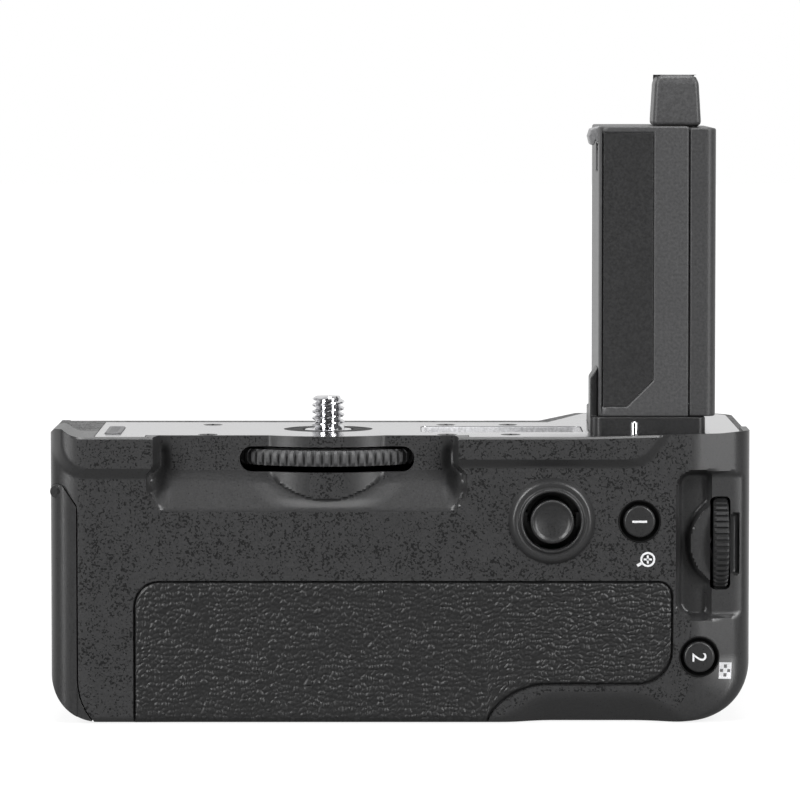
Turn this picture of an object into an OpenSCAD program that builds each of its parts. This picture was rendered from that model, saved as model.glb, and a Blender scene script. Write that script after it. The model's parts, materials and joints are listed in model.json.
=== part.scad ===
// Battery grip that screws under a camera: body with two battery slots behind an end door,
// a post that enters the camera's battery chamber, and a second set of controls.
// Origin: mouth of the tripod socket, at mid length. +X right seen from the rear, +Y to the front, +Z up.

/* [Body] */
// Length of the body
body_w = 133; // [130:1:165]
// Height of the camera seat above the base
body_h = 54.4; // [54:0.1:68]
// Distance from the screw axis to the rear face
rear_d = 22.5; // [22.5:0.5:28]
// Distance from the screw axis to the front face
front_d = 28.6; // [28.5:0.1:35]
// Distance from the screw axis to the front edge of the seat
seat_d = 23; // [22.5:0.5:28]
// Height of the widest part of the front face
belly_h = 45; // [40:0.5:47]
// Distance from the screw axis to the front of the hand grip
grip_d = 46; // [42:0.5:56]
// Length of the hand grip along the body
grip_w = 41; // [38:0.5:50]
// Wall of the covers
wall = 1.6; // [1.3:0.1:1.7]
// Radius of the upright edges
edge_r = 4; // [2:0.5:6]
// Radius of the lower corner at the door end, seen from the rear
door_corner_r = 9.5; // [4:0.5:12]
// Radius of the lower corner at the dial end, seen from the rear
dial_corner_r = 11.5; // [8:0.5:18]
// Thickness of the base plate
base_t = 1.2; // [1:0.1:1.6]
// Rise of the lip at the door end above the seat
lip_h = 1.6; // [0.5:0.1:3]

/* [Seat plate and screw] */
// Thickness of the seat plate
plate_t = 1.4; // [1:0.1:2]
// Thickness of the deck under the plate
deck_t = 0.8; // [0.6:0.1:1.2]
// Distance from the door end to the screw axis
screw_in = 52.5; // [50:0.5:60]
// Diameter of the camera screw
thread_d = 6.35; // [6.35:0.01:9.53]
// Pitch of the camera screw
thread_p = 1.27; // [1:0.01:1.6]
// Free height of the camera screw
thread_h = 6.4; // [4.5:0.1:8]
// Radius of the thumbwheel
wheel_r = 21.8; // [17:0.1:22]
// Thickness of the thumbwheel
wheel_t = 3.4; // [2.5:0.1:3.6]
// Ribs round the thumbwheel
wheel_ribs = 80; // [40:1:100]
// Outer radius of the friction ring
pad_r = 8.5; // [7:0.1:11]
// Diameter of the positioning pin
pin_d = 1.4; // [1:0.1:2]
// Height of the positioning pin
pin_h = 2.9; // [2:0.1:4]

/* [Batteries and door] */
// Length of one battery
batt_l = 51.7; // [42:0.1:53]
// Width of one battery
batt_w = 38.7; // [32:0.1:38.8]
// Thickness of one battery
batt_t = 22.7; // [18:0.1:22.8]
// Play of a battery in its slot
batt_play = 0.2; // [0.1:0.05:0.3]
// Wall of the battery chamber
chamber_t = 0.6; // [0.5:0.1:0.6]
// Thickness of the door
door_t = 5; // [4:0.1:7]
// Radius of the door's hinge barrel
barrel_r = 1.4; // [1.2:0.1:1.6]
// Diameter of the hinge pin
hinge_pin_d = 1; // [0.8:0.1:1.2]
// Travel of the door latch
latch_travel = 4; // [2:0.5:5]

/* [Post] */
// Width of the post
tower_w = 22.4; // [20:0.1:30]
// Depth of the post
tower_d = 38.5; // [34:0.1:47]
// Height of the post above the seat
tower_h = 58.6; // [48:0.1:72]
// Wall of the post
tower_t = 1.2; // [1:0.1:1.6]
// Gap from the post to the dial end of the body
tower_in = 6.3; // [4:0.1:8]
// Height of the contact head on the post
head_h = 9.8; // [6:0.1:12]

/* [Controls] */
// Radius of the rear dial
dial_r = 10.5; // [8.5:0.1:12]
// Width of the rear dial
dial_w = 3; // [2.5:0.1:4]
// Radius of the front dial
front_dial_r = 8; // [6.5:0.1:10]
// Radius of the joystick cap
stick_r = 4.1; // [3.4:0.1:4.9]
// Outer radius of the joystick's dished ring
ring_r = 8.2; // [7:0.1:10]
// Radius of the focus button
af_r = 3.2; // [2.6:0.1:4]
// Radius of the exposure button
ael_r = 3; // [2.5:0.1:3.7]
// Radius of the shutter button
shutter_r = 5; // [4:0.1:6.2]
// Travel of the buttons
press = 0.6; // [0.3:0.1:0.8]

/* [Leatherette] */
// Thickness of the leatherette
skin_t = 0.8; // [0.5:0.1:1]
// Height of the upper edge of the rear leatherette
skin_top = 26.9; // [22:0.1:32]
// Gap from the door end to the rear leatherette
skin_in = 15.9; // [12:0.1:20]

/* [Hidden] */

$fn = 64;
// Overlap of cutting bodies past the face they cut
eps = 0.5;
// Gap between seated trim pieces
fit_gap = 0.1;
// Running gap of pins and axles, on the radius
run_gap = 0.05;
// Gap between moving pieces and covers
move_gap = 0.3;

left_x = -body_w / 2;
right_x = body_w / 2;
rear_y = -rear_d;
front_y = front_d;
grip_y = grip_d;
seat_z = body_h;
plate_z = seat_z - plate_t;
deck_z = plate_z - deck_t;
cover_split_y = -6;

// Thumbwheel recess in the rear face
screw_x = left_x + screw_in;
wheel_z = deck_z - move_gap - wheel_t;
slot_half = wheel_r - 5.2;
slot_z = wheel_z - 0.9;
recess_in = 4.5;
recess_wall_y = rear_y + recess_in;
recess_x0 = left_x + 18.7;
recess_x1 = screw_x + 26.3;
recess_z0 = seat_z - 13.6;
recess_z1 = seat_z - 5.9;
recess_t = 1;
wall_in_y = rear_y + wall;
bulge_r = wheel_r - 0.6;

// Battery chamber: two slots side by side, each on the battery's narrow edge
slot_w = batt_t + batt_play;
slot_h = batt_w + 2 * batt_play;
contact_room = 2;
divider_t = 0.5;
chamber_x0 = left_x + door_t + move_gap;
chamber_x1 = chamber_x0 + batt_l + contact_room;
chamber_y0 = rear_y + wall + 0.2;
chamber_y1 = chamber_y0 + 2 * chamber_t + 2 * slot_w + divider_t;
chamber_z0 = base_t;
slot_z0 = chamber_z0 + 0.6;
slot_z1 = slot_z0 + slot_h;
chamber_z1 = slot_z1 + 0.5;
slot_y = [chamber_y0 + chamber_t, chamber_y0 + chamber_t + slot_w + divider_t];
flange_t = 1.5;
lock_room = 2.4;
lock_half = 4;

// Door, hinged along its upper edge
door_x = left_x + door_t;
door_z0 = 0.6;
hinge_x = left_x + barrel_r;
hinge_z = slot_z1 + barrel_r + 1.7;
door_z1 = hinge_z + barrel_r;
shoulder_z = slot_z1 + 0.2;
knuckles = [[rear_y + 6, rear_y + 14], [front_y - 16, front_y - 8]];
latch_y = 0;
latch_z = 14;
latch_w = 6;
latch_l = 12;

// Post
tower_x1 = right_x - tower_in;
tower_x0 = tower_x1 - tower_w;
tower_y0 = -13;
tower_y1 = tower_y0 + tower_d;
tower_z1 = seat_z + tower_h;
tower_r = 2;
tower_base_h = 3.2;
post_sink = 0.3;
tower_split_x = tower_x1 - 5.1;
panel_x1 = tower_x0 + 10.4;
panel_t = 0.6;
head_x1 = tower_x1 - 2.4;
head_x0 = head_x1 - 9.4;
head_y0 = -4;
head_y1 = 10;
tower_screw_spots = [[tower_x0 + 3, tower_y0 + 3.2], [tower_x0 + 3, tower_y1 - 3.2],
    [tower_x0 + 13, tower_y1 - 3.2]];

// Seat plate
plate_x0 = left_x + 8.5;
plate_x1 = tower_x0 - 1.6;
plate_rim = 0.7;
plate_y1 = seat_d - 4.5;
plate_wing_x = tower_x0 - 9;
plate_end_rim = 1.2;
pad_x = [plate_x0 + 1.5, plate_x0 + 4.6];
pad_y = [-14, 3.5];
plate_screw_x = [left_x + 29.8, recess_x1 - 3.4, recess_x1 + 8.7];
plate_screw_y = [-15.4, 11.5];
plate_screw_spots = [for (x = plate_screw_x) for (y = plate_screw_y) [x, y]];
plate_screw_r = 1.8;
pocket_box = [screw_x + 18, -9, plate_x1 - 1.2, 7];
flange_r = 4.7;
pad_t = 0.5;
pin_spot = [tower_x0 + 6.6, rear_y + 2.6];
pin_stem_r = pin_d / 2 - 0.25;
hub_r = 3;
thread_depth = 0.41;
thread_flank = thread_depth * tan(30);
thread_z = seat_z + 0.6;
thread_rings = floor((thread_h - 1) / thread_p);

// Rear controls, as X and Z on the rear face
stick_spot = [right_x - 37.8, 38.5];
af_spot = [right_x - 21.2, 38.4];
ael_spot = [right_x - 9.8, 12.6];
cap_out = 0.9;
cap_flange = 0.7;
board_y = rear_y + 6.6;
board_t = 1.2;
board_x0 = 7;
board_x1 = right_x - 10.5;
board_z0 = 10;
board_z1 = 47;
pivot_y = rear_y + 3.5;
stick_top_y = rear_y - 1.5;
stick_press = 0.3;
cap_back_y = wall_in_y + move_gap + cap_flange;
switch_y = cap_back_y + press + 0.2;

// Rear dial
dial_pocket_in = 4;
dial_pocket_x = right_x - 13.9;
dial_pocket_z = [19.6, 47.9];
dial_x = right_x - 5.55;
dial_z = 34;
dial_slot_half = 8.7;
dial_y = rear_y + dial_pocket_in + sqrt(dial_r * dial_r - (dial_slot_half - 0.25) * (dial_slot_half - 0.25));
axle_r = 1;
ear_t = 1.1;
dial_ribs = 54;
ear_x = [dial_x - dial_w / 2 - 0.4 - ear_t, dial_x + dial_w / 2 + 0.4];

// Front controls
front_dial_w = 4;
front_dial_spot = [right_x - 15, grip_y + 0.2 - front_dial_r];
control_z = 24;
shutter_spot = [30, control_z];
power_ring_r = shutter_r + 3.4;
c_spots = [[12, 22], [12, 35]];
c_r = 2.6;
side_wall_x = right_x - wall;
side_switch_x = side_wall_x - move_gap - cap_flange - press - 0.2;
front_ear_z = [control_z - front_dial_w / 2 - 0.4 - ear_t, control_z + front_dial_w / 2 + 0.4];

// Base
base_screw_spots = [[9, rear_y + 4.2], [right_x - 22, rear_y + 4.2],
    [9, front_y - 4.2], [right_x - 22, grip_y - 4.2]];
base_head_r = 1.7;
socket_r = 4.6;
socket_h = 9.5;

// Leatherette
skin_x0 = left_x + skin_in;
skin_x1 = right_x - 14.9;
skin_step_z = 7.25;
skin_end_x = skin_x1 - 35.5;
skin_bend_x = skin_x1 - 18.3;
front_skin_x = [right_x - grip_w - 2, right_x - 21.5];
front_skin_z = [6, seat_z - 5];

charcoal = "#3a3a3c";
soft_black = "#232325";
satin = "#b9bbbd";
bright = "#dcdde0";
dark_steel = "#55585c";

// Rectangle with its own radius at each corner: low-low, high-low, high-high, low-high
module corner_rect(x0, y0, x1, y1, r) {
    spots = [[x0, y0, 1, 1], [x1, y0, -1, 1], [x1, y1, -1, -1], [x0, y1, 1, -1]];
    difference() {
        translate([x0, y0]) square([x1 - x0, y1 - y0]);
        for (i = [0:3]) if (r[i] > 0)
            translate([spots[i][0], spots[i][1]]) scale([spots[i][2], spots[i][3]])
                translate([-eps, -eps]) square(r[i] + eps);
    }
    for (i = [0:3]) if (r[i] > 0)
        translate([spots[i][0] + spots[i][2] * r[i], spots[i][1] + spots[i][3] * r[i]]) circle(r[i]);
}

module even_rect(x0, y0, x1, y1, r) {
    corner_rect(x0, y0, x1, y1, [r, r, r, r]);
}

// Outline drawn in X and Z, extruded from y0 to y1
module along_y(y0, y1) {
    translate([0, y1, 0]) rotate([90, 0, 0]) linear_extrude(y1 - y0) children();
}

// Outline drawn in Y and Z, extruded from x0 to x1
module along_x(x0, x1) {
    translate([x0, 0, 0]) rotate([90, 0, 90]) linear_extrude(x1 - x0) children();
}

module along_z(z0, z1) {
    translate([0, 0, z0]) linear_extrude(z1 - z0) children();
}

// Round bar between two stations on an axis through spot
module bar_x(spot, x0, x1, r) {
    translate([x0, spot[0], spot[1]]) rotate([0, 90, 0]) cylinder(h = x1 - x0, r = r);
}

module bar_y(spot, y0, y1, r) {
    translate([spot[0], y1, spot[1]]) rotate([90, 0, 0]) cylinder(h = y1 - y0, r = r);
}

module bar_z(spot, z0, z1, r) {
    translate([spot[0], spot[1], z0]) cylinder(h = z1 - z0, r = r);
}

module box(x0, y0, z0, x1, y1, z1) {
    translate([x0, y0, z0]) cube([x1 - x0, y1 - y0, z1 - z0]);
}

// Ribbed disc outline
module ribbed(r, ribs, depth) {
    polygon([for (i = [0:2 * ribs - 1])
        let (a = 180 * i / ribs, q = r - (i % 2) * depth) [q * cos(a), q * sin(a)]]);
}

// Outline of the long body seen from above
module bar_plan(inset) {
    even_rect(left_x + inset, rear_y + inset, right_x - inset, front_y - inset, edge_r - inset);
}

// Outline of the hand grip seen from above, with the bend where it leaves the front face
module grip_plan(inset) {
    bend_r = 9;
    grip_x = right_x - grip_w;
    corner_rect(grip_x + inset, 0, right_x - inset, grip_y - inset, [0, 0, 8 - inset, 12 - inset]);
    difference() {
        translate([grip_x - bend_r + inset, 0]) square([bend_r + eps, front_y + bend_r]);
        translate([grip_x - bend_r, front_y + bend_r]) circle(bend_r + inset);
    }
}

module plan(inset) {
    bar_plan(inset);
    grip_plan(inset);
}

// Side view of the long body: the front face leans back from the belly to the seat
module side_profile(inset) {
    polygon([[rear_y - eps, -eps], [front_y + eps, -eps], [front_y + eps, belly_h],
        [front_y - inset, belly_h],
        [seat_d - inset, seat_z], [seat_d - inset, seat_z + eps], [rear_y - eps, seat_z + eps]]);
}

// Outline of the body seen from the rear
module elevation(inset) {
    corner_rect(left_x + inset, inset, right_x - inset, seat_z + eps,
        [door_corner_r - inset, dial_corner_r - inset, 0, 0]);
}

module body_solid(inset, z0, z1) {
    intersection() {
        union() {
            intersection() {
                along_z(z0, z1) bar_plan(inset);
                along_x(left_x, right_x) side_profile(inset);
            }
            along_z(z0, z1) grip_plan(inset);
        }
        along_y(rear_y - eps, grip_y + eps) elevation(min(inset, z0 > 0 ? inset : 0));
    }
}

// Room inside the covers, below the deck
module cavity() {
    difference() {
        body_solid(wall, base_t, deck_z);
        along_x(recess_x0 - recess_t, recess_x1 + recess_t)
            polygon([[rear_y, recess_z0 + 0.6], [wall_in_y, recess_z0 + 0.6],
                [recess_wall_y + recess_t, recess_z1],
                [recess_wall_y + recess_t, seat_z], [rear_y, seat_z]]);
        box(dial_pocket_x - 1.2, rear_y, dial_pocket_z[0] - 1.2,
            right_x, rear_y + dial_pocket_in + 1.2, dial_pocket_z[1] + 1.2);
    }
}

// Seat plate outline: follows the rear edge, the recess and the bulge over the thumbwheel,
// and spreads over the hand grip round the post
module plate_outline(grow) {
    rim = plate_rim - grow;
    difference() {
        union() {
            translate([plate_x0 - grow, rear_y + rim])
                square([plate_x1 - plate_x0 + grow, plate_y1 - rear_y - rim + grow]);
            intersection() {
                plan(plate_end_rim - grow);
                polygon([[plate_x1 - eps, rear_y + rim], [right_x, rear_y + rim], [right_x, grip_y],
                    [plate_x1 + 1 - grow, grip_y], [plate_wing_x - grow, plate_y1 - eps],
                    [plate_x1 - eps, plate_y1 - eps]]);
            }
        }
        difference() {
            translate([recess_x0 - rim, rear_y - eps])
                square([recess_x1 - recess_x0 + 2 * rim, recess_in + eps + rim]);
            translate([screw_x, 0]) circle(bulge_r - rim);
        }
    }
}

module recess_cut() {
    difference() {
        along_x(recess_x0, recess_x1)
            polygon([[rear_y - eps, recess_z0], [rear_y, recess_z0], [recess_wall_y, recess_z1],
                [recess_wall_y, seat_z + eps], [rear_y - eps, seat_z + eps]]);
        bar_z([screw_x, 0], recess_z0, slot_z, bulge_r);
    }
    along_y(rear_y - eps, recess_wall_y + recess_t + 3)
        even_rect(screw_x - slot_half, slot_z, screw_x + slot_half, plate_z, 2.4);
    bar_z([screw_x, 0], wheel_z - move_gap, deck_z, wheel_r + move_gap);
}

module dial_pocket_cut() {
    along_y(rear_y - eps, rear_y + dial_pocket_in)
        corner_rect(dial_pocket_x, dial_pocket_z[0], right_x + eps, dial_pocket_z[1], [2.8, 0, 0, 2.8]);
    floor_y = rear_y + dial_pocket_in;
    box(dial_x - dial_w / 2 - 0.6, rear_y, dial_z - dial_slot_half,
        dial_x + dial_w / 2 + 0.6, floor_y + 0.4, dial_z + dial_slot_half);
    box(dial_x - dial_w / 2 - 0.6, floor_y + 0.3, dial_z - dial_slot_half - 1.2,
        dial_x + dial_w / 2 + 0.6, floor_y + 1.5, dial_z + dial_slot_half + 1.2);
}

// Rear leatherette outline in X and Z; its lower edge steps up in an S to clear the scooped corner
module skin_outline(grow) {
    steps = 16;
    low_z = -grow;
    corner_rect(skin_x0 - grow, skin_step_z - grow, skin_x1 + grow, skin_top + grow, [0, 6.7, 2.7, 4.8]);
    polygon(concat([[skin_x0 - grow, low_z]],
        [for (i = [0:steps]) let (t = i / steps)
            [skin_end_x + grow + (skin_bend_x - skin_end_x) * t,
                low_z + skin_step_z * (1 - cos(180 * t)) / 2]],
        [[skin_bend_x, skin_step_z + eps], [skin_x0 - grow, skin_step_z + eps]]));
}

module rear_skin_shape(grow, depth) {
    along_y(rear_y - eps, rear_y + depth) skin_outline(grow);
}

module front_skin_shape(grow) {
    box(front_skin_x[0] - grow, front_y + 2 - grow, front_skin_z[0] - grow,
        front_skin_x[1] + grow, grip_y + eps, front_skin_z[1] + grow);
}

// The whole moulded body before it is split into two covers
module case_shell() {
    difference() {
        union() {
            body_solid(0, 0, seat_z);
            door_lip();
        }
        cavity();
        along_z(-eps, base_t + eps) base_outline(fit_gap);
        along_z(plate_z, seat_z + lip_h + eps) plate_outline(fit_gap);
        recess_cut();
        dial_pocket_cut();
        door_cut();
        rear_skin_shape(fit_gap, skin_t + fit_gap);
        control_holes();
        box(left_x, rear_y - eps, -eps, left_x + door_corner_r - 1.5, front_y + eps, chamber_z0);
        box(left_x, chamber_y0 - fit_gap, chamber_z0 - eps, chamber_x1, chamber_y1 + fit_gap, slot_z1);
        for (s = tower_screw_spots) bar_z(s, deck_z - eps, seat_z + eps, 0.95);
        bar_z([screw_x, 0], deck_z - eps, seat_z, flange_r + move_gap);
        pocket_shape(fit_gap, plate_z - 0.5 - fit_gap);
        for (s = plate_screw_spots) bar_z(s, deck_z - 3, seat_z, 0.95);
        bar_z(pin_spot, deck_z - eps, seat_z + eps, pin_stem_r + run_gap);
        tower_passage();
    }
}

// Lip that rises above the seat at the door end and sweeps down to the plate
module door_lip() {
    sweep_r = 5;
    end_y = 3;
    top_z = seat_z + lip_h;
    difference() {
        intersection() {
            along_z(seat_z - eps, top_z) plan(0);
            box(left_x, rear_y, seat_z - eps, plate_x0 - fit_gap, end_y, top_z);
        }
        along_y(rear_y - eps, front_y + eps)
            translate([plate_x0, seat_z + sweep_r]) circle(sweep_r);
        box(left_x - eps, rear_y - eps, seat_z - eps, left_x + 0.8, front_y + eps, top_z + eps);
    }
}

// Side view of the door from the rear: its shoulder slopes up to the hinge barrel at the outer edge
module door_outline(grow) {
    r = barrel_r + grow;
    polygon([[left_x, door_z0], [door_x + grow, door_z0], [door_x + grow, shoulder_z + grow],
        [hinge_x + r * cos(45), hinge_z + r * sin(45)], [hinge_x, hinge_z], [left_x, hinge_z]]);
    translate([hinge_x, hinge_z]) circle(r);
}

// Door space, open to the outer side so that the door can swing up
module door_cut() {
    along_y(rear_y - eps, front_y + eps) door_outline(move_gap);
    box(left_x - eps, rear_y - eps, -eps, hinge_x, front_y + eps, door_z1 + move_gap);
    box(left_x - eps, rear_y - eps, -eps, chamber_x0, front_y + eps, door_z0 + eps);
}

// Hinge barrel that stays with a cover, on the web that carries it
module cover_barrel(k) {
    difference() {
        union() {
            bar_y([hinge_x, hinge_z], k[0], k[1], barrel_r);
            box(hinge_x, k[0], hinge_z, chamber_x0 + 1, k[1], deck_z + 0.1);
        }
        bar_y([hinge_x, hinge_z], k[0] - eps, k[1] + eps, hinge_pin_d / 2 + run_gap);
    }
}

module control_holes() {
    bar_y(stick_spot, rear_y - eps, wall_in_y + eps, stick_r + 1.2);
    for (b = [[af_spot, af_r], [ael_spot, ael_r]]) {
        bar_y(b[0], rear_y - eps, wall_in_y + eps, b[1] + 0.2);
        bar_y(b[0], rear_y - eps, rear_y + 0.9, b[1] + 0.9);
    }
    bar_x(shutter_spot, right_x - wall - eps, right_x + eps, shutter_r + 1.2);
    for (s = c_spots) bar_x(s, right_x - wall - eps, right_x + eps, c_r + 0.2);
    box(front_dial_spot[0] - front_dial_r, grip_y - wall - 1, control_z - front_dial_w / 2 - 0.6,
        front_dial_spot[0] + front_dial_r, grip_y + eps, control_z + front_dial_w / 2 + 0.6);
}

// Hole in the deck for the lead that runs up into the post
module tower_passage() {
    box(tower_x0 + 4, tower_y0 + 8, deck_z - eps, tower_x1 - 4, tower_y0 + 18, seat_z + eps);
}

// Posts for the base screws, and bosses for the plate screws

module base_posts() {
    for (s = base_screw_spots) difference() {
        union() {
            bar_z(s, base_t, 9, 2.2);
            box(s[0] - 0.8, s[1] < 0 ? wall_in_y - eps : s[1], base_t, s[0] + 0.8,
                s[1] < 0 ? s[1] : s[1] + 4.2 - wall + eps, 9);
        }
        bar_z(s, 0, 9 + eps, 0.95);
    }
}

module plate_bosses() {
    for (s = plate_screw_spots) difference() {
        bar_z(s, deck_z - 2.6, deck_z + fit_gap, 2);
        bar_z(s, deck_z - 3, deck_z + 1, 0.95);
    }
}

module half(rear) {
    intersection() {
        children();
        if (rear) box(left_x - 1, rear_y - 1, -1, right_x + 1, cover_split_y, seat_z + lip_h + 1);
        else box(left_x - 1, cover_split_y, -1, right_x + 1, grip_y + 1, seat_z + lip_h + 1);
    }
}

module rear_cover() {
    color(charcoal) {
        half(true) {
            case_shell();
            base_posts();
            plate_bosses();
        }
        cover_barrel(knuckles[0]);
    }
}

module front_cover() {
    color(charcoal) difference() {
        union() {
            half(false) {
                case_shell();
                base_posts();
                plate_bosses();
            }
            cover_barrel(knuckles[1]);
        }
        front_skin_recess();
    }
}

module front_skin_recess() {
    intersection() {
        front_skin_shape(fit_gap);
        difference() {
            body_solid(-eps, 0, seat_z);
            body_solid(skin_t + fit_gap, 0, seat_z);
        }
    }
}

// Base plate outline
module base_outline(grow) {
    intersection() {
        plan(wall + fit_gap - grow);
        translate([left_x + door_corner_r - grow, rear_y])
            square([body_w - door_corner_r - dial_corner_r + 2 * grow, grip_y - rear_y]);
    }
}

module base_plate() {
    color(soft_black) difference() {
        along_z(0, base_t) base_outline(0);
        bar_z([0, 0], -eps, base_t + eps, socket_r + fit_gap);
        for (s = base_screw_spots) {
            bar_z(s, -eps, base_t + eps, 1.1);
            bar_z(s, -eps, 0.7, base_head_r + fit_gap);
        }
    }
}

module case_screws() {
    color(dark_steel) for (s = base_screw_spots) {
        difference() {
            bar_z(s, 0.1, 0.7, base_head_r);
            bar_z(s, 0, 0.4, 0.7);
        }
        bar_z(s, 0.7, 7, 0.9);
    }
}

// Threaded insert for a tripod, flush with the base

module tripod_socket() {
    color(satin) difference() {
        union() {
            bar_z([0, 0], 0, socket_h, socket_r);
            bar_z([0, 0], base_t, base_t + 1.2, socket_r + 1.2);
        }
        bar_z([0, 0], -eps, socket_h - 2, 2.6);
    }
}

module pocket_shape(grow, z0) {
    along_z(z0, seat_z + eps)
        even_rect(pocket_box[0] - grow, pocket_box[1] - grow,
            pocket_box[2] + grow, pocket_box[3] + grow, 1.5);
}

module top_plate() {
    color(bright) difference() {
        along_z(plate_z, seat_z) plate_outline(0);
        bar_z([screw_x, 0], plate_z - eps, seat_z + eps, flange_r + move_gap);
        bar_z([screw_x, 0], seat_z - pad_t, seat_z + eps, pad_r + fit_gap);
        pocket_shape(fit_gap, plate_z - eps);
        for (s = plate_screw_spots) {
            bar_z(s, plate_z - eps, seat_z + eps, 1.1);
            bar_z(s, seat_z - 0.7, seat_z + eps, plate_screw_r + fit_gap);
        }
        for (s = tower_screw_spots) bar_z(s, plate_z - eps, seat_z + eps, 1.05);
        bar_z(pin_spot, plate_z - eps, seat_z + eps, pin_d / 2 + run_gap);
        tower_passage();
        along_z(seat_z - post_sink, seat_z + eps) post_foot(fit_gap);
        box(pad_x[0] - fit_gap, pad_y[0] - fit_gap, seat_z - 0.4,
            pad_x[1] + fit_gap, pad_y[1] + fit_gap, seat_z + eps);
    }
}

module plate_screws() {
    color(soft_black) for (s = plate_screw_spots) {
        difference() {
            bar_z(s, seat_z - 0.7, seat_z + 0.05, plate_screw_r);
            bar_z(s, seat_z - 0.35, seat_z + eps, 0.7);
        }
        bar_z(s, deck_z - 2.2, seat_z - 0.7, 0.9);
    }
}

// Tray let into the plate that keeps the camera's own battery cover
module pocket_tray() {
    color(soft_black) difference() {
        pocket_shape(0, plate_z - 0.5);
        along_z(plate_z, seat_z + 2 * eps)
            even_rect(pocket_box[0] + 0.7, pocket_box[1] + 0.7, pocket_box[2] - 0.7, pocket_box[3] - 0.7, 1);
        along_z(seat_z - 0.1, seat_z + 2 * eps)
            even_rect(pocket_box[0] - eps, pocket_box[1] - eps, pocket_box[2] + eps, pocket_box[3] + eps, 1);
    }
}

module plate_pad() {
    color(soft_black) along_z(seat_z - 0.4, seat_z + 0.3)
        even_rect(pad_x[0], pad_y[0], pad_x[1], pad_y[1], 0.8);
}

// Friction ring round the camera screw
module screw_pad() {
    color(dark_steel) along_z(seat_z - pad_t, seat_z) difference() {
        translate([screw_x, 0]) circle(pad_r);
        translate([screw_x, 0]) circle(flange_r + move_gap);
    }
}

module positioning_pin() {
    r = pin_d / 2;
    color(bright) translate([pin_spot[0], pin_spot[1], 0]) rotate_extrude()
        polygon([[0, deck_z], [pin_stem_r, deck_z], [pin_stem_r, seat_z + 0.05], [r, seat_z + 0.05],
            [r, seat_z + pin_h - 0.3], [r - 0.3, seat_z + pin_h], [0, seat_z + pin_h]]);
}

// Camera screw: flange in the plate, hub in the wheel, thread above the seat

module attachment_screw() {
    root_r = thread_d / 2 - thread_depth;
    foot_z = seat_z + 0.3;
    top_z = seat_z + thread_h;
    ring = [[0, 0], [thread_depth, thread_flank], [thread_depth, thread_p - thread_flank], [0, thread_p]];
    color(bright) difference() {
        union() {
            bar_z([screw_x, 0], wheel_z, wheel_z + wheel_t, hub_r);
            bar_z([screw_x, 0], wheel_z + wheel_t, foot_z, flange_r);
            translate([screw_x, 0, 0]) rotate_extrude() polygon(concat(
                [[0, foot_z - 0.1], [root_r, foot_z - 0.1]],
                [for (i = [0:thread_rings - 1]) for (p = ring)
                    [root_r + p[0], thread_z + i * thread_p + p[1]]],
                [[root_r, top_z - 0.4], [root_r - 0.4, top_z], [0, top_z]]));
        }
        bar_z([screw_x, 0], wheel_z - eps, wheel_z + 0.8, 1.2);
    }
}

module attachment_wheel() {
    color(soft_black) difference() {
        translate([screw_x, 0, wheel_z]) linear_extrude(wheel_t) ribbed(wheel_r, wheel_ribs, 0.7);
        bar_z([screw_x, 0], wheel_z - eps, wheel_z + wheel_t + eps, hub_r + 0.02);
        for (a = [0:60:300]) translate([screw_x, 0, 0]) rotate(a)
            bar_z([wheel_r * 0.58, 0], wheel_z - eps, wheel_z + wheel_t + eps, 4);
        bar_z([screw_x, 0], wheel_z - eps, wheel_z + 0.6, 5.2);
    }
}

// Clip in the underside of the wheel that keeps it on the screw's hub
module screw_clip() {
    color(satin) difference() {
        bar_z([screw_x, 0], wheel_z, wheel_z + 0.5, 5);
        bar_z([screw_x, 0], wheel_z - eps, wheel_z + 1, hub_r + 0.02);
        box(screw_x, -1.4, wheel_z - eps, screw_x + 6, 1.4, wheel_z + 1);
    }
}

// Battery chamber: two slots open to the door, with a flange that closes the end of the covers
module battery_chamber() {
    color(soft_black) difference() {
        union() {
            box(chamber_x0, chamber_y0, chamber_z0, chamber_x1 + 1, chamber_y1, chamber_z1);
            intersection() {
                box(chamber_x0, chamber_y0, chamber_z0,
                    chamber_x0 + flange_t, chamber_y1, slot_z1 + lock_room + 0.1);
                body_solid(wall + fit_gap, chamber_z0, seat_z);
            }
        }
        for (y = slot_y) {
            box(chamber_x0 - eps, y, slot_z0, chamber_x1, y + slot_w, slot_z1);
            contact_window(y);
            box(chamber_x0 - eps, y + slot_w / 2 - lock_half - 0.3, slot_z1 - eps,
                chamber_x0 + flange_t + eps, y + slot_w / 2 + lock_half + 0.3, slot_z1 + lock_room);
        }
    }
}

module contact_window(y) {
    box(chamber_x1 - eps, y + 5, slot_z0 + 8, chamber_x1 + 2, y + 11, slot_z0 + 22);
}

// Contact block with its blades at the inner end of each slot
module chamber_contacts() {
    color("#c8a24a") for (y = slot_y) {
        box(chamber_x1, y + 5.1, slot_z0 + 8.1, chamber_x1 + 1.6, y + 10.9, slot_z0 + 21.9);
        for (k = [0:3]) box(chamber_x1 - 1.4, y + 6.5, slot_z0 + 9.5 + 3 * k,
            chamber_x1, y + 9.5, slot_z0 + 10.3 + 3 * k);
    }
}

// Bent leaf that pushes a released battery out
module eject_leaves() {
    color(satin) for (y = slot_y) {
        z = slot_z0 + 26;
        along_y(y + 9, y + 13) polygon([[chamber_x1, z], [chamber_x1, z + 12], [chamber_x1 - 0.3, z + 12],
            [chamber_x1 - 0.3, z + 4], [chamber_x1 - 1.5, z + 1], [chamber_x1 - 1.2, z + 0.6],
            [chamber_x1 - 0.3, z + 2.8], [chamber_x1 - 0.3, z]]);
    }
}

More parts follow.
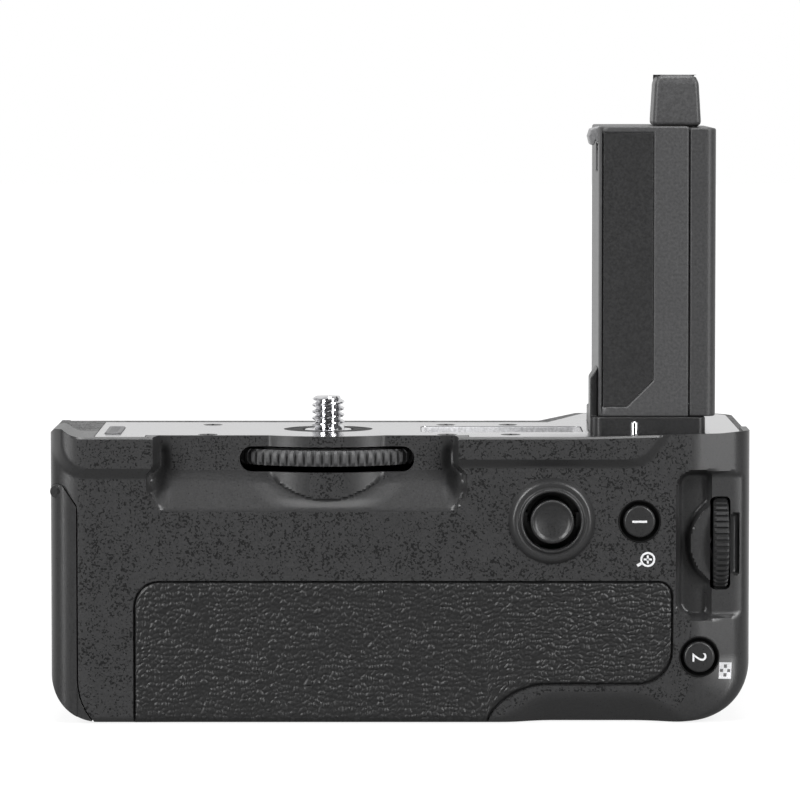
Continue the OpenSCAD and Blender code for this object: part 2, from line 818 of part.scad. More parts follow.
// Spring catch over the mouth of a slot, drawn back at rest
module battery_lock(y) {
    mid = y + slot_w / 2;
    z0 = slot_z1 + 0.1;
    color("#4a6fa5") difference() {
        box(chamber_x0 + 0.1, mid - lock_half, z0,
            chamber_x0 + flange_t, mid + lock_half, slot_z1 + lock_room - 0.1);
        for (k = [-2:2]) box(chamber_x0, mid + 1.4 * k - 0.25, z0 + 0.6,
            chamber_x0 + 0.4, mid + 1.4 * k + 0.25, z0 + 2.2);
    }
}

module battery_lock_rear() {
    battery_lock(slot_y[0]);
}

module battery_lock_front() {
    battery_lock(slot_y[1]);
}

// Foam pad on the flange between the two catches
module door_seal() {
    color("#1a1a1b") along_x(chamber_x0 - 0.2, chamber_x0)
        even_rect(slot_y[0] + slot_w / 2 + lock_half + 1, slot_z1 + 0.3,
            slot_y[1] + slot_w / 2 - lock_half - 1, slot_z1 + lock_room, 0.3);
}

// Door: end cap with a hinge barrel along its upper edge and a latch channel
module battery_door() {
    color(charcoal) difference() {
        intersection() {
            body_solid(0, 0, seat_z);
            along_y(rear_y, front_y) door_outline(0);
        }
        for (k = knuckles) {
            bar_y([hinge_x, hinge_z], k[0] - move_gap, k[1] + move_gap, barrel_r + move_gap);
            box(hinge_x, k[0] - move_gap, hinge_z - move_gap, door_x + eps, k[1] + move_gap, door_z1 + eps);
        }
        bar_y([hinge_x, hinge_z], rear_y - eps, front_y + eps, hinge_pin_d / 2 + run_gap);
        box(left_x - eps, latch_y - latch_l / 2 - move_gap, latch_z - move_gap,
            left_x + 1.6, latch_y + latch_l / 2 + latch_travel + move_gap, latch_z + latch_w + move_gap);
        box(left_x + 1, latch_y - 2.3, latch_z + latch_w / 2 - 1.3,
            door_x + eps, latch_y + 2.3 + latch_travel, latch_z + latch_w / 2 + 1.3);
    }
}

module door_hinge_pin() {
    color(satin) bar_y([hinge_x, hinge_z], rear_y + 3, front_y - 3, hinge_pin_d / 2);
}

// Thumb slide of the door with its ribs and stem
module door_latch() {
    color(soft_black) {
        along_x(left_x + 0.3, left_x + 1.4)
            even_rect(latch_y - latch_l / 2, latch_z, latch_y + latch_l / 2, latch_z + latch_w, 1);
        for (k = [-2:2]) box(left_x, latch_y + 2 * k - 0.3, latch_z + 1,
            left_x + 0.6, latch_y + 2 * k + 0.3, latch_z + latch_w - 1);
        box(left_x + 1, latch_y - 2, latch_z + latch_w / 2 - 1,
            door_x - 0.2, latch_y + 2, latch_z + latch_w / 2 + 1);
    }
}

// Post that enters the camera
module tower_outline(inset) {
    even_rect(tower_x0 + inset, tower_y0 + inset, tower_x1 - inset, tower_y1 - inset, tower_r - inset / 2);
}

// Foot of the post on the seat, in X and Y, with the rib at its left
module post_foot(grow) {
    even_rect(tower_x0 - 0.9 - grow, tower_y0 - 1.5 - grow, tower_x1 - 2 + grow, tower_y1 + 1.5 + grow, 1.5);
    even_rect(tower_x0 - 1.5 - grow, tower_y0 + 2 - grow, tower_x0 + 2, tower_y0 + 12 + grow, 0.2);
}

module tower_base() {
    foot_z = seat_z - post_sink;
    color(soft_black) difference() {
        union() {
            along_z(foot_z, seat_z + tower_base_h) post_foot(0);
            along_y(tower_y0 + 2.2, tower_y0 + 11.8)
                polygon([[tower_x0 - 1.5, seat_z], [tower_x0 - 0.1, seat_z], [tower_x0 - 0.1, seat_z + 12.5],
                    [tower_x0 - 1.5, seat_z + 10.5]]);
        }
        box(tower_x0 + 4, tower_y0 + 8, foot_z - eps, tower_x1 - 4, tower_y0 + 18, seat_z + 4);
        for (s = tower_screw_spots) bar_z(s, foot_z - eps, seat_z + 4, 0.95);
    }
}

// Depth of the dark panel's seat and its outline with one cut corner, in X and Z
module panel_outline(grow) {
    cut = 5;
    z0 = seat_z + 5.2 - grow;
    z1 = tower_z1 - 1.2 + grow;
    x0 = tower_x0 + 0.9 - grow;
    x1 = panel_x1 + grow;
    polygon([[x0, z0], [x1 - cut, z0], [x1, z0 + cut], [x1, z1], [x0, z1]]);
}

// Hole in the top of the post for the foot of the contact head
module head_hole() {
    along_z(tower_z1 - tower_t - eps, tower_z1 + eps)
        even_rect(head_x0 + 1, head_y0 + 1, head_x1 - 1, head_y1 - 1, 1);
}

module tower_hollow() {
    along_z(seat_z + tower_base_h - eps, tower_z1 - tower_t) tower_outline(tower_t + 0.2);
}

module tower_shell() {
    color("#434346") difference() {
        intersection() {
            along_z(seat_z + tower_base_h, tower_z1) tower_outline(0);
            box(tower_x0 - 1, tower_y0 - 1, seat_z, tower_split_x - fit_gap, tower_y1 + 1, tower_z1 + 1);
        }
        tower_hollow();
        along_y(tower_y0 - eps, tower_y0 + panel_t + 0.05) panel_outline(0.05);
        box(tower_x0 - eps, tower_y0 + 6, tower_z1 - 8.6, tower_x0 + 2.4, tower_y0 + 16, tower_z1 - 4);
        box(tower_x0 - eps, tower_y0 + 6, tower_z1 - 4, tower_x0 + 0.6, tower_y0 + 16, tower_z1 + eps);
        head_hole();
    }
    color("#434346") for (s = tower_screw_spots) if (s[0] < tower_split_x) difference() {
        bar_z(s, seat_z + tower_base_h, seat_z + 9, 2);
        bar_z(s, seat_z + tower_base_h - eps, seat_z + 9 + eps, 0.95);
    }
}

module tower_panel() {
    color(soft_black) along_y(tower_y0 + 0.15, tower_y0 + panel_t) panel_outline(0);
}

module tower_side_cover() {
    color("#4a4a4d") difference() {
        intersection() {
            along_z(seat_z + tower_base_h + 0.1, tower_z1 - 0.3) tower_outline(0);
            box(tower_split_x + fit_gap, tower_y0 - 1, seat_z, tower_x1 + 1, tower_y1 + 1, tower_z1 + 1);
        }
        tower_hollow();
        head_hole();
    }
}

module tower_clip() {
    x = tower_x0 + 0.6;
    color("#9a9c9e") along_y(tower_y0 + 6.1, tower_y0 + 15.9)
        polygon([[x, tower_z1], [x - 2, tower_z1 - 0.6], [x - 2.4, tower_z1 - 2], [x - 2, tower_z1 - 3.6],
            [x - 1.3, tower_z1 - 3.6], [x - 1, tower_z1 - 2.6], [x, tower_z1 - 3.9]]);
}

// Contact head on top of the post, drawn in a little towards its top
module tower_head() {
    foot_h = 0.9;
    lean = 0.5;
    z0 = tower_z1;
    color(soft_black) difference() {
        union() {
            intersection() {
                along_y(head_y0, head_y1)
                    polygon([[head_x0, z0], [head_x1, z0], [head_x1 - lean, z0 + head_h - 1],
                        [head_x1 - lean - 1, z0 + head_h], [head_x0 + lean + 1, z0 + head_h],
                        [head_x0 + lean, z0 + head_h - 1]]);
                along_x(head_x0, head_x1)
                    polygon([[head_y0, z0], [head_y1, z0], [head_y1 - lean, z0 + head_h],
                        [head_y0 + 1.2, z0 + head_h], [head_y0 + lean, z0 + head_h - 1.8]]);
            }
            along_z(z0 - foot_h, z0)
                even_rect(head_x0 + 1.1, head_y0 + 1.1, head_x1 - 1.1, head_y1 - 1.1, 0.9);
        }
        for (k = [0:3]) head_slot(k, 0.05);
    }
}

module head_slot(k, grow) {
    x = head_x0 + 1.9 + 1.85 * k;
    box(x - 0.25 - grow, head_y0 + 5 - grow, tower_z1 + head_h - 5 - grow,
        x + 0.25 + grow, head_y1 + eps, tower_z1 + head_h + eps);
}

module tower_contacts() {
    color("#c8a24a") for (k = [0:3]) intersection() {
        head_slot(k, 0);
        box(head_x0, head_y0, tower_z1, head_x1, head_y1 - 1.2, tower_z1 + head_h - 0.4);
    }
}

module tower_screws() {
    color(dark_steel) for (s = tower_screw_spots) {
        bar_z(s, deck_z - 0.9, deck_z, 1.7);
        bar_z(s, deck_z, seat_z + 7.5, 0.9);
    }
}

// Circuit board behind the rear wall
module main_board() {
    color("#23503a") difference() {
        along_y(board_y, board_y + board_t) even_rect(board_x0, board_z0, board_x1, board_z1, 1);
        for (x = [board_x0 + 3, board_x1 - 3]) bar_y([x, board_z0 + 3], board_y - eps, board_y + 3, 1);
    }
}

// Flat lead from the board up through the deck into the post
module flex_lead() {
    x0 = head_x0 + 1.5;
    x1 = head_x1 - 2.5;
    y0 = board_y + board_t;
    y1 = tower_y0 + 12;
    color("#b8772c") along_x(x0, x1) polygon([[y0, board_z1 - 9], [y0, board_z1 - 4], [y1, board_z1 - 4],
        [y1, tower_z1 - 6], [head_y0 + 5, tower_z1 - 6], [head_y0 + 5, tower_z1 - 0.9],
        [head_y0 + 5.3, tower_z1 - 0.9],
        [head_y0 + 5.3, tower_z1 - 6.3], [y1 + 0.3, tower_z1 - 6.3], [y1 + 0.3, board_z1 - 4.3],
        [y0 + 0.3, board_z1 - 4.3], [y0 + 0.3, board_z1 - 9]]);
}

// Tactile switches under the buttons
module switches() {
    color(dark_steel) {
        for (s = [af_spot]) along_y(switch_y, board_y)
            even_rect(s[0] - 2.2, s[1] - 2.2, s[0] + 2.2, s[1] + 2.2, 0.4);
        along_y(switch_y, switch_y + 2)
            even_rect(ael_spot[0] - 2.2, ael_spot[1] - 2.2, ael_spot[0] + 2.2, ael_spot[1] + 2.2, 0.4);
        box(board_x1 - 3, switch_y + 2, board_z0 + 1, ael_spot[0] + 2.2, switch_y + 2.8, board_z0 + 4.8);
        for (s = c_spots) bar_x(s, side_switch_x - 2, side_switch_x, 2);
        bar_x(shutter_spot, side_switch_x - 2, side_switch_x, 2.6);
        box(side_switch_x - 3, c_spots[0][0] - 2, c_spots[0][1] - 2,
            side_switch_x - 2, shutter_spot[0] + 3, c_spots[1][1] + 2);
        bar_x([(c_spots[0][0] + shutter_spot[0]) / 2, c_spots[1][1] - 1],
            side_switch_x - 3, side_wall_x, 1.5);
    }
}

// Joystick: base on the board, gimbal about X, stick about Z, cap that presses along Y
module joystick_base() {
    ear = stick_r + 0.5;
    floor_y = board_y - 1.1;
    color(soft_black) difference() {
        union() {
            along_y(floor_y, board_y) even_rect(stick_spot[0] - ear - 1, stick_spot[1] - 5,
                stick_spot[0] + ear + 1, stick_spot[1] + 5, 0.6);
            for (m = [-1, 1]) box(stick_spot[0] + (m < 0 ? -ear - 1 : ear), pivot_y - 1, stick_spot[1] - 1.4,
                stick_spot[0] + (m < 0 ? -ear : ear + 1), floor_y + 0.1, stick_spot[1] + 1.4);
        }
        bar_x([pivot_y, stick_spot[1]], stick_spot[0] - ear - 2, stick_spot[0] + ear + 2, 0.5 + run_gap);
    }
}

module joystick_gimbal() {
    ear = stick_r + 0.5;
    color(satin) {
        difference() {
            along_y(pivot_y - 0.7, pivot_y + 0.7) translate(stick_spot) difference() {
                circle(4.2);
                circle(2.5);
            }
            bar_z([stick_spot[0], pivot_y], stick_spot[1] - 6, stick_spot[1] + 6, 0.4 + run_gap);
        }
        for (m = [-1, 1]) bar_x([pivot_y, stick_spot[1]],
            stick_spot[0] + (m < 0 ? -ear - 0.8 : 3.9), stick_spot[0] + (m < 0 ? -3.9 : ear + 0.8), 0.5);
    }
}

module joystick_stick() {
    color(satin) {
        translate([stick_spot[0], pivot_y, stick_spot[1]]) sphere(1.6);
        bar_z([stick_spot[0], pivot_y], stick_spot[1] - 3.9, stick_spot[1] + 3.9, 0.4);
        bar_y(stick_spot, stick_top_y, pivot_y, 1);
    }
}

// Cap with a dished face, running on the stick
module joystick_cap() {
    top_y = stick_top_y - stick_press - 0.9;
    color(soft_black) translate([stick_spot[0], 0, stick_spot[1]]) rotate([90, 0, 0]) difference() {
        rotate_extrude() polygon([[0, -top_y - 0.5], [stick_r - 1.2, -top_y], [stick_r - 0.5, -top_y],
            [stick_r, -top_y - 0.6], [stick_r, -top_y - 1.6], [stick_r - 0.8, -top_y - 2.2],
            [1.8, -top_y - 2.2],
            [1.8, -rear_y - 0.4], [0, -rear_y - 0.4]]);
        translate([0, 0, -rear_y - 1]) cylinder(h = -stick_top_y + stick_press + rear_y + 1, r = 1 + run_gap);
    }
}

// Dished ring that surrounds the joystick
module joystick_ring() {
    r0 = stick_r + 1.2;
    color(charcoal) translate([stick_spot[0], rear_y, stick_spot[1]]) rotate([90, 0, 0]) rotate_extrude()
        polygon([[r0, 0], [ring_r, 0], [ring_r, 0.2], [ring_r - 1.6, 1.1], [r0 + 0.6, 1.5], [r0, 1.1]]);
}

// Black bezels of the two rear buttons
module button_rings() {
    color("#101011") for (b = [[af_spot, af_r], [ael_spot, ael_r]])
        along_y(rear_y - 0.2, rear_y + 0.9) translate(b[0]) difference() {
            circle(b[1] + 0.9 - 0.05);
            circle(b[1] + 0.2);
        }
}

// Round push button on the rear face
module rear_button(spot, r) {
    color(soft_black) {
        along_y(rear_y - cap_out + 0.25, cap_back_y) translate(spot) circle(r);
        translate([spot[0], rear_y - cap_out + 0.25, spot[1]]) rotate([90, 0, 0])
            cylinder(h = 0.25, r1 = r, r2 = r - 0.3);
        along_y(wall_in_y + move_gap, cap_back_y) translate(spot) circle(r + 0.7);
    }
}

module af_button() {
    rear_button(af_spot, af_r);
}

module ael_button() {
    rear_button(ael_spot, ael_r);
}

// Rear dial with its axle and the bracket that carries it

module rear_dial() {
    color(soft_black) difference() {
        translate([dial_x - dial_w / 2, dial_y, dial_z]) rotate([90, 0, 90])
            linear_extrude(dial_w) ribbed(dial_r, dial_ribs, 0.6);
        bar_x([dial_y, dial_z], dial_x - 5, dial_x + 5, axle_r + 0.02);
    }
}

module rear_dial_axle() {
    color(satin) bar_x([dial_y, dial_z], ear_x[0], ear_x[1] + ear_t, axle_r);
}

module rear_dial_bracket() {
    y0 = rear_y + dial_pocket_in + 1.3;
    color(soft_black) difference() {
        union() {
            for (x = ear_x) {
                box(x, y0, dial_z - 3, x + ear_t, dial_y, dial_z + 3);
                bar_x([dial_y, dial_z], x, x + ear_t, 3);
                box(x, y0, dial_z - dial_r - 2.6, x + ear_t, y0 + 2, dial_z + dial_r + 2.6);
            }
            for (s = [-1, 1]) box(ear_x[0], y0, dial_z + s * (dial_r + 1.6) - 1,
                ear_x[1] + ear_t, y0 + 2, dial_z + s * (dial_r + 1.6) + 1);
        }
        bar_x([dial_y, dial_z], dial_x - 9, dial_x + 9, axle_r + run_gap);
    }
}

// Front dial on an upright axle in the hand grip
module front_dial() {
    color(soft_black) difference() {
        translate([front_dial_spot[0], front_dial_spot[1], control_z - front_dial_w / 2])
            linear_extrude(front_dial_w) ribbed(front_dial_r, 40, 0.6);
        bar_z(front_dial_spot, 0, 40, axle_r + 0.02);
    }
}

module front_dial_axle() {
    color(satin) bar_z(front_dial_spot, front_ear_z[0], front_ear_z[1] + ear_t, axle_r);
}

module front_dial_bracket() {
    y1 = grip_y - wall - 0.1;
    color(soft_black) difference() {
        union() {
            for (z = front_ear_z) {
                box(front_dial_spot[0] - 3, front_dial_spot[1], z, front_dial_spot[0] + 3, y1, z + ear_t);
                bar_z(front_dial_spot, z, z + ear_t, 3);
            }
            box(front_dial_spot[0] - 3, front_dial_spot[1] - front_dial_r - 1.6, front_ear_z[0],
                front_dial_spot[0] + 3, front_dial_spot[1] - front_dial_r - 0.5, front_ear_z[1] + ear_t);
            for (z = front_ear_z) box(front_dial_spot[0] - 3, front_dial_spot[1] - front_dial_r - 1.6, z,
                front_dial_spot[0] + 3, front_dial_spot[1], z + ear_t);
        }
        bar_z(front_dial_spot, 0, 40, axle_r + run_gap);
    }
}

// Shutter release on the end face of the hand grip, with the power ring that turns on its collar
module shutter_collar() {
    color(soft_black) difference() {
        union() {
            bar_x(shutter_spot, side_wall_x, right_x + 2, shutter_r + 1.1);
            bar_x(shutter_spot, side_wall_x - 1, side_wall_x, shutter_r + 2.4);
        }
        bar_x(shutter_spot, side_wall_x - 2, right_x + 3, shutter_r + 0.2);
    }
}

module shutter_button() {
    color(satin) translate([0, shutter_spot[0], shutter_spot[1]]) rotate([0, 90, 0]) rotate_extrude()
        polygon([[0, side_wall_x - 1], [shutter_r, side_wall_x - 1], [shutter_r, right_x + 2],
            [shutter_r - 0.7, right_x + 2.7], [shutter_r * 0.5, right_x + 2.4], [0, right_x + 2.3]]);
    color(satin) bar_x(shutter_spot, side_switch_x + press + 0.1, side_wall_x - 1, 2);
}

module power_ring() {
    lever = power_ring_r + 2;
    color(soft_black) difference() {
        union() {
            bar_x(shutter_spot, right_x + 0.3, right_x + 1.7, power_ring_r);
            along_x(right_x + 0.3, right_x + 1.7) translate(shutter_spot)
                polygon([[-2, -power_ring_r + 1], [2, -power_ring_r + 1], [1.2, -lever], [-1.2, -lever]]);
        }
        bar_x(shutter_spot, right_x, right_x + 2, shutter_r + 1.1 + run_gap);
    }
}

module side_button(spot) {
    color(soft_black) {
        bar_x(spot, side_wall_x - move_gap - cap_flange, right_x + 0.6, c_r);
        translate([right_x + 0.6, spot[0], spot[1]]) rotate([0, 90, 0])
            cylinder(h = 0.3, r1 = c_r, r2 = c_r - 0.4);
        bar_x(spot, side_wall_x - move_gap - cap_flange, side_wall_x - move_gap, c_r + 0.7);
    }
}

module c1_button() {
    side_button(c_spots[0]);
}

module c2_button() {
    side_button(c_spots[1]);
}

module rear_grip_skin() {
    color(soft_black) intersection() {
        body_solid(0, 0, seat_z);
        along_y(rear_y, rear_y + skin_t) skin_outline(0);
    }
}

module front_grip_skin() {
    color(soft_black) intersection() {
        front_skin_shape(0);
        difference() {
            body_solid(0, 0, seat_z);
            body_solid(skin_t, 0, seat_z);
        }
    }
}

rear_cover();
front_cover();
base_plate();
case_screws();
tripod_socket();
top_plate();
plate_screws();
pocket_tray();
plate_pad();
screw_pad();
positioning_pin();
attachment_wheel();
attachment_screw();
screw_clip();
battery_chamber();
chamber_contacts();
eject_leaves();
battery_lock_rear();
battery_lock_front();
battery_door();
door_hinge_pin();
door_latch();
door_seal();
tower_base();
tower_shell();
tower_panel();
tower_side_cover();
tower_clip();
tower_head();
tower_contacts();
tower_screws();
main_board();
flex_lead();
switches();
joystick_base();
joystick_gimbal();
joystick_stick();
joystick_cap();
joystick_ring();
button_rings();
af_button();
ael_button();
rear_dial();
rear_dial_axle();
rear_dial_bracket();
front_dial();
front_dial_axle();
front_dial_bracket();
shutter_collar();
shutter_button();
power_ring();
c1_button();
c2_button();
rear_grip_skin();
front_grip_skin();
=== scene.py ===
"""Camera battery grip: the finished look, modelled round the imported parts. Modelling is in millimetres."""
import json
import math

import bpy
import numpy as np
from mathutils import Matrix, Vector

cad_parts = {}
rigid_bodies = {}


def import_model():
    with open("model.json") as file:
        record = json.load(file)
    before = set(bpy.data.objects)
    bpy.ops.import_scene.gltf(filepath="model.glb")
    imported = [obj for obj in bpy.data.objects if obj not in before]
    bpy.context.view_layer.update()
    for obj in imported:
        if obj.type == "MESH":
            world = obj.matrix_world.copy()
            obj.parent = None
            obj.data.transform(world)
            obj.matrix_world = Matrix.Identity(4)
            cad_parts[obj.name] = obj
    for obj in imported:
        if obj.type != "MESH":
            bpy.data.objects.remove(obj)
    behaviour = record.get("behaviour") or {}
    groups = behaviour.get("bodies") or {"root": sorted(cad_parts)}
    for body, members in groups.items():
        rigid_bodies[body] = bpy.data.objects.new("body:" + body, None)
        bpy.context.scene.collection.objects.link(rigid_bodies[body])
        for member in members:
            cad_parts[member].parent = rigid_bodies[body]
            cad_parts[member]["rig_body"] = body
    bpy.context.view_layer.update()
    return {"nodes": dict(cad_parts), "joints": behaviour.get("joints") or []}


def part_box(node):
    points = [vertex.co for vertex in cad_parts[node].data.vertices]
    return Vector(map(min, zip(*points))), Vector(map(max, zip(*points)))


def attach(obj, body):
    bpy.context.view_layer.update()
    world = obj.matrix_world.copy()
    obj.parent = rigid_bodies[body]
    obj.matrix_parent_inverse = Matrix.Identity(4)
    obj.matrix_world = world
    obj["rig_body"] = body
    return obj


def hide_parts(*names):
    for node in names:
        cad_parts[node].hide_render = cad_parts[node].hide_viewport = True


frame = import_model()
MM = 0.001
JOINT = {joint["name"]: Vector(joint["pos_m"]) / MM for joint in frame["joints"] if joint.get("pos_m")}


# Driving sizes read from the frame, in millimetres

def size_of(node):
    """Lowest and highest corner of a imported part."""
    return [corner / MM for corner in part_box(node)]


plate_low, plate_high = size_of("top_plate")
door_high = size_of("battery_door")[1]
LEFT, RIGHT = (corner.x for corner in size_of("front_cover"))
REAR, SPLIT = (corner.y for corner in size_of("rear_cover"))
PLATE_BED, SEAT = plate_low.z, plate_high.z
SCREW, HINGE = JOINT["screw_turn"], JOINT["door_open"]


# Modelling verbs

mesh = bpy.ops.mesh
MERGE = 0.0005
SHARP_ANGLE = 32
EASED_ANGLE = 40


def deselect():
    if bpy.context.mode != "OBJECT":
        bpy.ops.object.mode_set(mode="OBJECT")
    bpy.ops.object.select_all(action="DESELECT")


def take(piece):
    """Makes a piece the only one selected, and active."""
    deselect()
    piece.select_set(True)
    bpy.context.view_layer.objects.active = piece


def edit(piece):
    take(piece)
    bpy.ops.object.mode_set(mode="EDIT")


def edit_all(piece):
    edit(piece)
    mesh.select_all(action="SELECT")


def done():
    bpy.ops.object.mode_set(mode="OBJECT")
    return bpy.context.object


def read(rows, key):
    """Values of a mesh's points or faces, three to a row."""
    values = np.empty(len(rows) * 3)
    rows.foreach_get(key, values)
    return values.reshape(-1, 3)


def points_of(piece):
    return read(piece.data.vertices, "co")


def set_points(piece, points):
    piece.data.vertices.foreach_set("co", np.asarray(points, float).ravel())
    piece.data.update()


def outward(piece):
    edit_all(piece)
    mesh.normals_make_consistent(inside=False)
    return done()


def fresh(add, **sizes):
    deselect()
    add(**sizes)
    return bpy.context.object


def sheet_of(columns, rows):
    """Flat grid, one unit wide and long, centred on the origin."""
    return fresh(mesh.primitive_grid_add, x_subdivisions=columns, y_subdivisions=rows, size=1)


def prism(outline, low, high, axis="Z"):
    """Closed bar with the outline as its section, from low to high along the axis.

    The outline is (x, y) for axis Z and (x, z) for axis Y."""
    piece = fresh(mesh.primitive_circle_add, vertices=len(outline), fill_type="NGON")
    along = "XYZ".index(axis)
    set_points(piece, np.insert(np.array(outline, float), along, low, axis=1))
    rise = [0, 0, 0]
    rise[along] = high - low
    edit_all(piece)
    mesh.extrude_region_move(TRANSFORM_OT_translate={"value": rise})
    done()
    return outward(piece)


def block(low, high):
    (x0, y0, z0), (x1, y1, z1) = low, high
    return prism([(x0, y0), (x1, y0), (x1, y1), (x0, y1)], z0, z1)


def turned(profile, spot, axis="Z", steps=96, limit=None):
    """Body turned from (radius, height) points; along Y the heights grow towards the rear.

    A limit gives the largest radius at an angle and height: it cuts ribs and threads."""
    piece = fresh(mesh.primitive_circle_add, vertices=len(profile), fill_type="NOTHING")
    set_points(piece, [(radius, 0, height) for radius, height in profile])
    edit_all(piece)
    mesh.spin(steps=steps, angle=math.tau, center=(0, 0, 0), axis=(0, 0, 1))
    mesh.select_all(action="SELECT")
    mesh.remove_doubles(threshold=MERGE)
    mesh.dissolve_degenerate(threshold=MERGE)
    mesh.delete_loose()
    done()
    points = points_of(piece)
    if limit:
        radius, angle = np.hypot(points[:, 0], points[:, 1]), np.arctan2(points[:, 1], points[:, 0])
        shrink = np.minimum(radius, limit(angle, points[:, 2])) / np.maximum(radius, 1e-6)
        points = points * np.column_stack([shrink, shrink, np.ones(len(shrink))])
    if axis == "Y":
        points = points[:, (0, 2, 1)] * (-1, -1, 1)
    elif axis == "X":
        points = points[:, (2, 0, 1)]
    set_points(piece, points + np.array(spot))
    return outward(piece)


def ribs(radius, count, depth, flat=0.5):
    """Limit with flat-topped ridges along a rim, each taking the flat share of its pitch."""
    def limit(angle, height):
        wave = (1 + np.cos(angle * count)) / 2
        return radius - depth * (1 - ease((wave - 0.5 + flat * 0.5 - 0.1) / 0.35))
    return limit


def apply_modifier(piece, kind, **settings):
    take(piece)
    modifier = piece.modifiers.new(kind.title(), kind)
    for key, value in settings.items():
        setattr(modifier, key, value)
    bpy.ops.object.modifier_apply(modifier=modifier.name)
    return piece


def join(pieces):
    take(pieces[0])
    for piece in pieces[1:]:
        piece.select_set(True)
    if len(pieces) > 1:
        bpy.ops.object.join()
    return bpy.context.object


def boolean(piece, tools, operation):
    tool = join(tools)
    apply_modifier(piece, "BOOLEAN", object=tool, operation=operation, solver="EXACT")
    bpy.data.objects.remove(tool)
    return piece


def cut(piece, *tools):
    return boolean(piece, tools, "DIFFERENCE")


def fuse(piece, tool):
    return boolean(piece, [tool], "UNION")


def soften(piece, width, segments=2, clamp=True):
    """Rounds every sharp edge."""
    return apply_modifier(piece, "BEVEL", width=width, segments=segments, use_clamp_overlap=clamp,
                          limit_method="ANGLE", angle_limit=math.radians(SHARP_ANGLE))


def copy_of(node):
    """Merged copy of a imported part, in millimetres."""
    deselect()
    piece = bpy.data.objects.new(node, frame["nodes"][node].data.copy())
    bpy.context.scene.collection.objects.link(piece)
    piece.data.materials.clear()
    set_points(piece, points_of(piece) / MM)
    edit_all(piece)
    mesh.remove_doubles(threshold=2 * MERGE)
    mesh.dissolve_limited(angle_limit=math.radians(0.5))
    return done()


def dress(piece, name, material, body, angle):
    """Scales a piece to metres, names and finishes it, and lets it ride on a body."""
    take(piece)
    bpy.ops.object.shade_smooth_by_angle(angle=math.radians(angle))
    set_points(piece, points_of(piece) * MM)
    piece.name = piece.data.name = name
    piece.data.materials.clear()
    piece.data.materials.append(material)
    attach(piece, body)


def finish(piece, node, material, angle=SHARP_ANGLE):
    """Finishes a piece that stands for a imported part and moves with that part's body."""
    dress(piece, node + "_finished", material, frame["nodes"][node]["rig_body"], angle)
    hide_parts(node)


def finish_eased(piece, node, material, width=0.2, segments=2, clamp=True):
    """Rounds the edges of a piece and finishes it, with its broad flat faces kept flat beside them."""
    soften(piece, width, segments, clamp)
    finish(piece, node, material, EASED_ANGLE)
    apply_modifier(piece, "WEIGHTED_NORMAL", mode="FACE_AREA", weight=50, keep_sharp=True)


def eased(node, *looks, **edges):
    """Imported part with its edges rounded."""
    finish_eased(copy_of(node), node, *looks, **edges)


# Outlines

def arc(centre, radius, start, stop, steps=8):
    """Points on a circle from the start angle to the stop angle, in degrees."""
    angles = [math.radians(start + (stop - start) * i / steps) for i in range(steps + 1)]
    return [(centre[0] + radius * math.cos(a), centre[1] + radius * math.sin(a)) for a in angles]


def quarter_round(edge, top, radius, stop, steps):
    """Round shoulder of a turned profile, from its edge radius up to its top height."""
    return [(edge - radius + radius * math.cos(a), top - radius + radius * math.sin(a))
            for a in np.linspace(0, stop, steps)]


def rim_profile(bore, outer, low, high, side):
    """Section of a wheel with the same stepped side, as (inset, rise) points, at both ends."""
    return ([(bore, low)] + [(outer - a, low + b) for a, b in side]
            + [(outer - a, high - b) for a, b in side[::-1]] + [(bore, high)])


def rounded(x0, y0, x1, y1, radius):
    """Rectangle with round corners."""
    corners = ((x0, y0, 1, 1, 180), (x1, y0, -1, 1, 270), (x1, y1, -1, -1, 0), (x0, y1, 1, -1, 90))
    outline = []
    for x, y, sx, sy, start in corners:
        outline += arc((x + sx * radius, y + sy * radius), radius, start, start + 90)
    return outline


def disc(spot, radius, low, high, steps=64):
    return prism(arc(spot, radius, 0, 360 * (steps - 1) / steps, steps - 1), low, high, "Y")


# Sculpting rules for the covers, on arrays

def unit(t):
    return np.clip(t, 0, 1)


def smooth_max(a, b, k):
    h = unit(0.5 + 0.5 * (a - b) / k)
    return b + (a - b) * h + k * h * (1 - h)


def smooth_min(a, b, k):
    return -smooth_max(-a, -b, k)


def ease(t):
    t = unit(t)
    return t * t * (3 - 2 * t)


def cove(s, width):
    """Hollow quarter round: steep at the edge, flat at the full width."""
    return np.sqrt(1 - (1 - unit(s / width)) ** 2)


def round_over(d, radius):
    """How far a rounded edge falls back at a distance from the outline."""
    t = unit((radius - d) / radius)
    return radius * (1 - np.sqrt(1 - t * t))


def inside(x, z, x0, z0, x1, z1, radius):
    """Distance inside a rectangle with round corners."""
    qx = np.abs(x - (x0 + x1) / 2) - (x1 - x0) / 2 + radius
    qz = np.abs(z - (z0 + z1) / 2) - (z1 - z0) / 2 + radius
    return radius - np.minimum(np.maximum(qx, qz), 0) - np.hypot(np.maximum(qx, 0), np.maximum(qz, 0))


# Materials

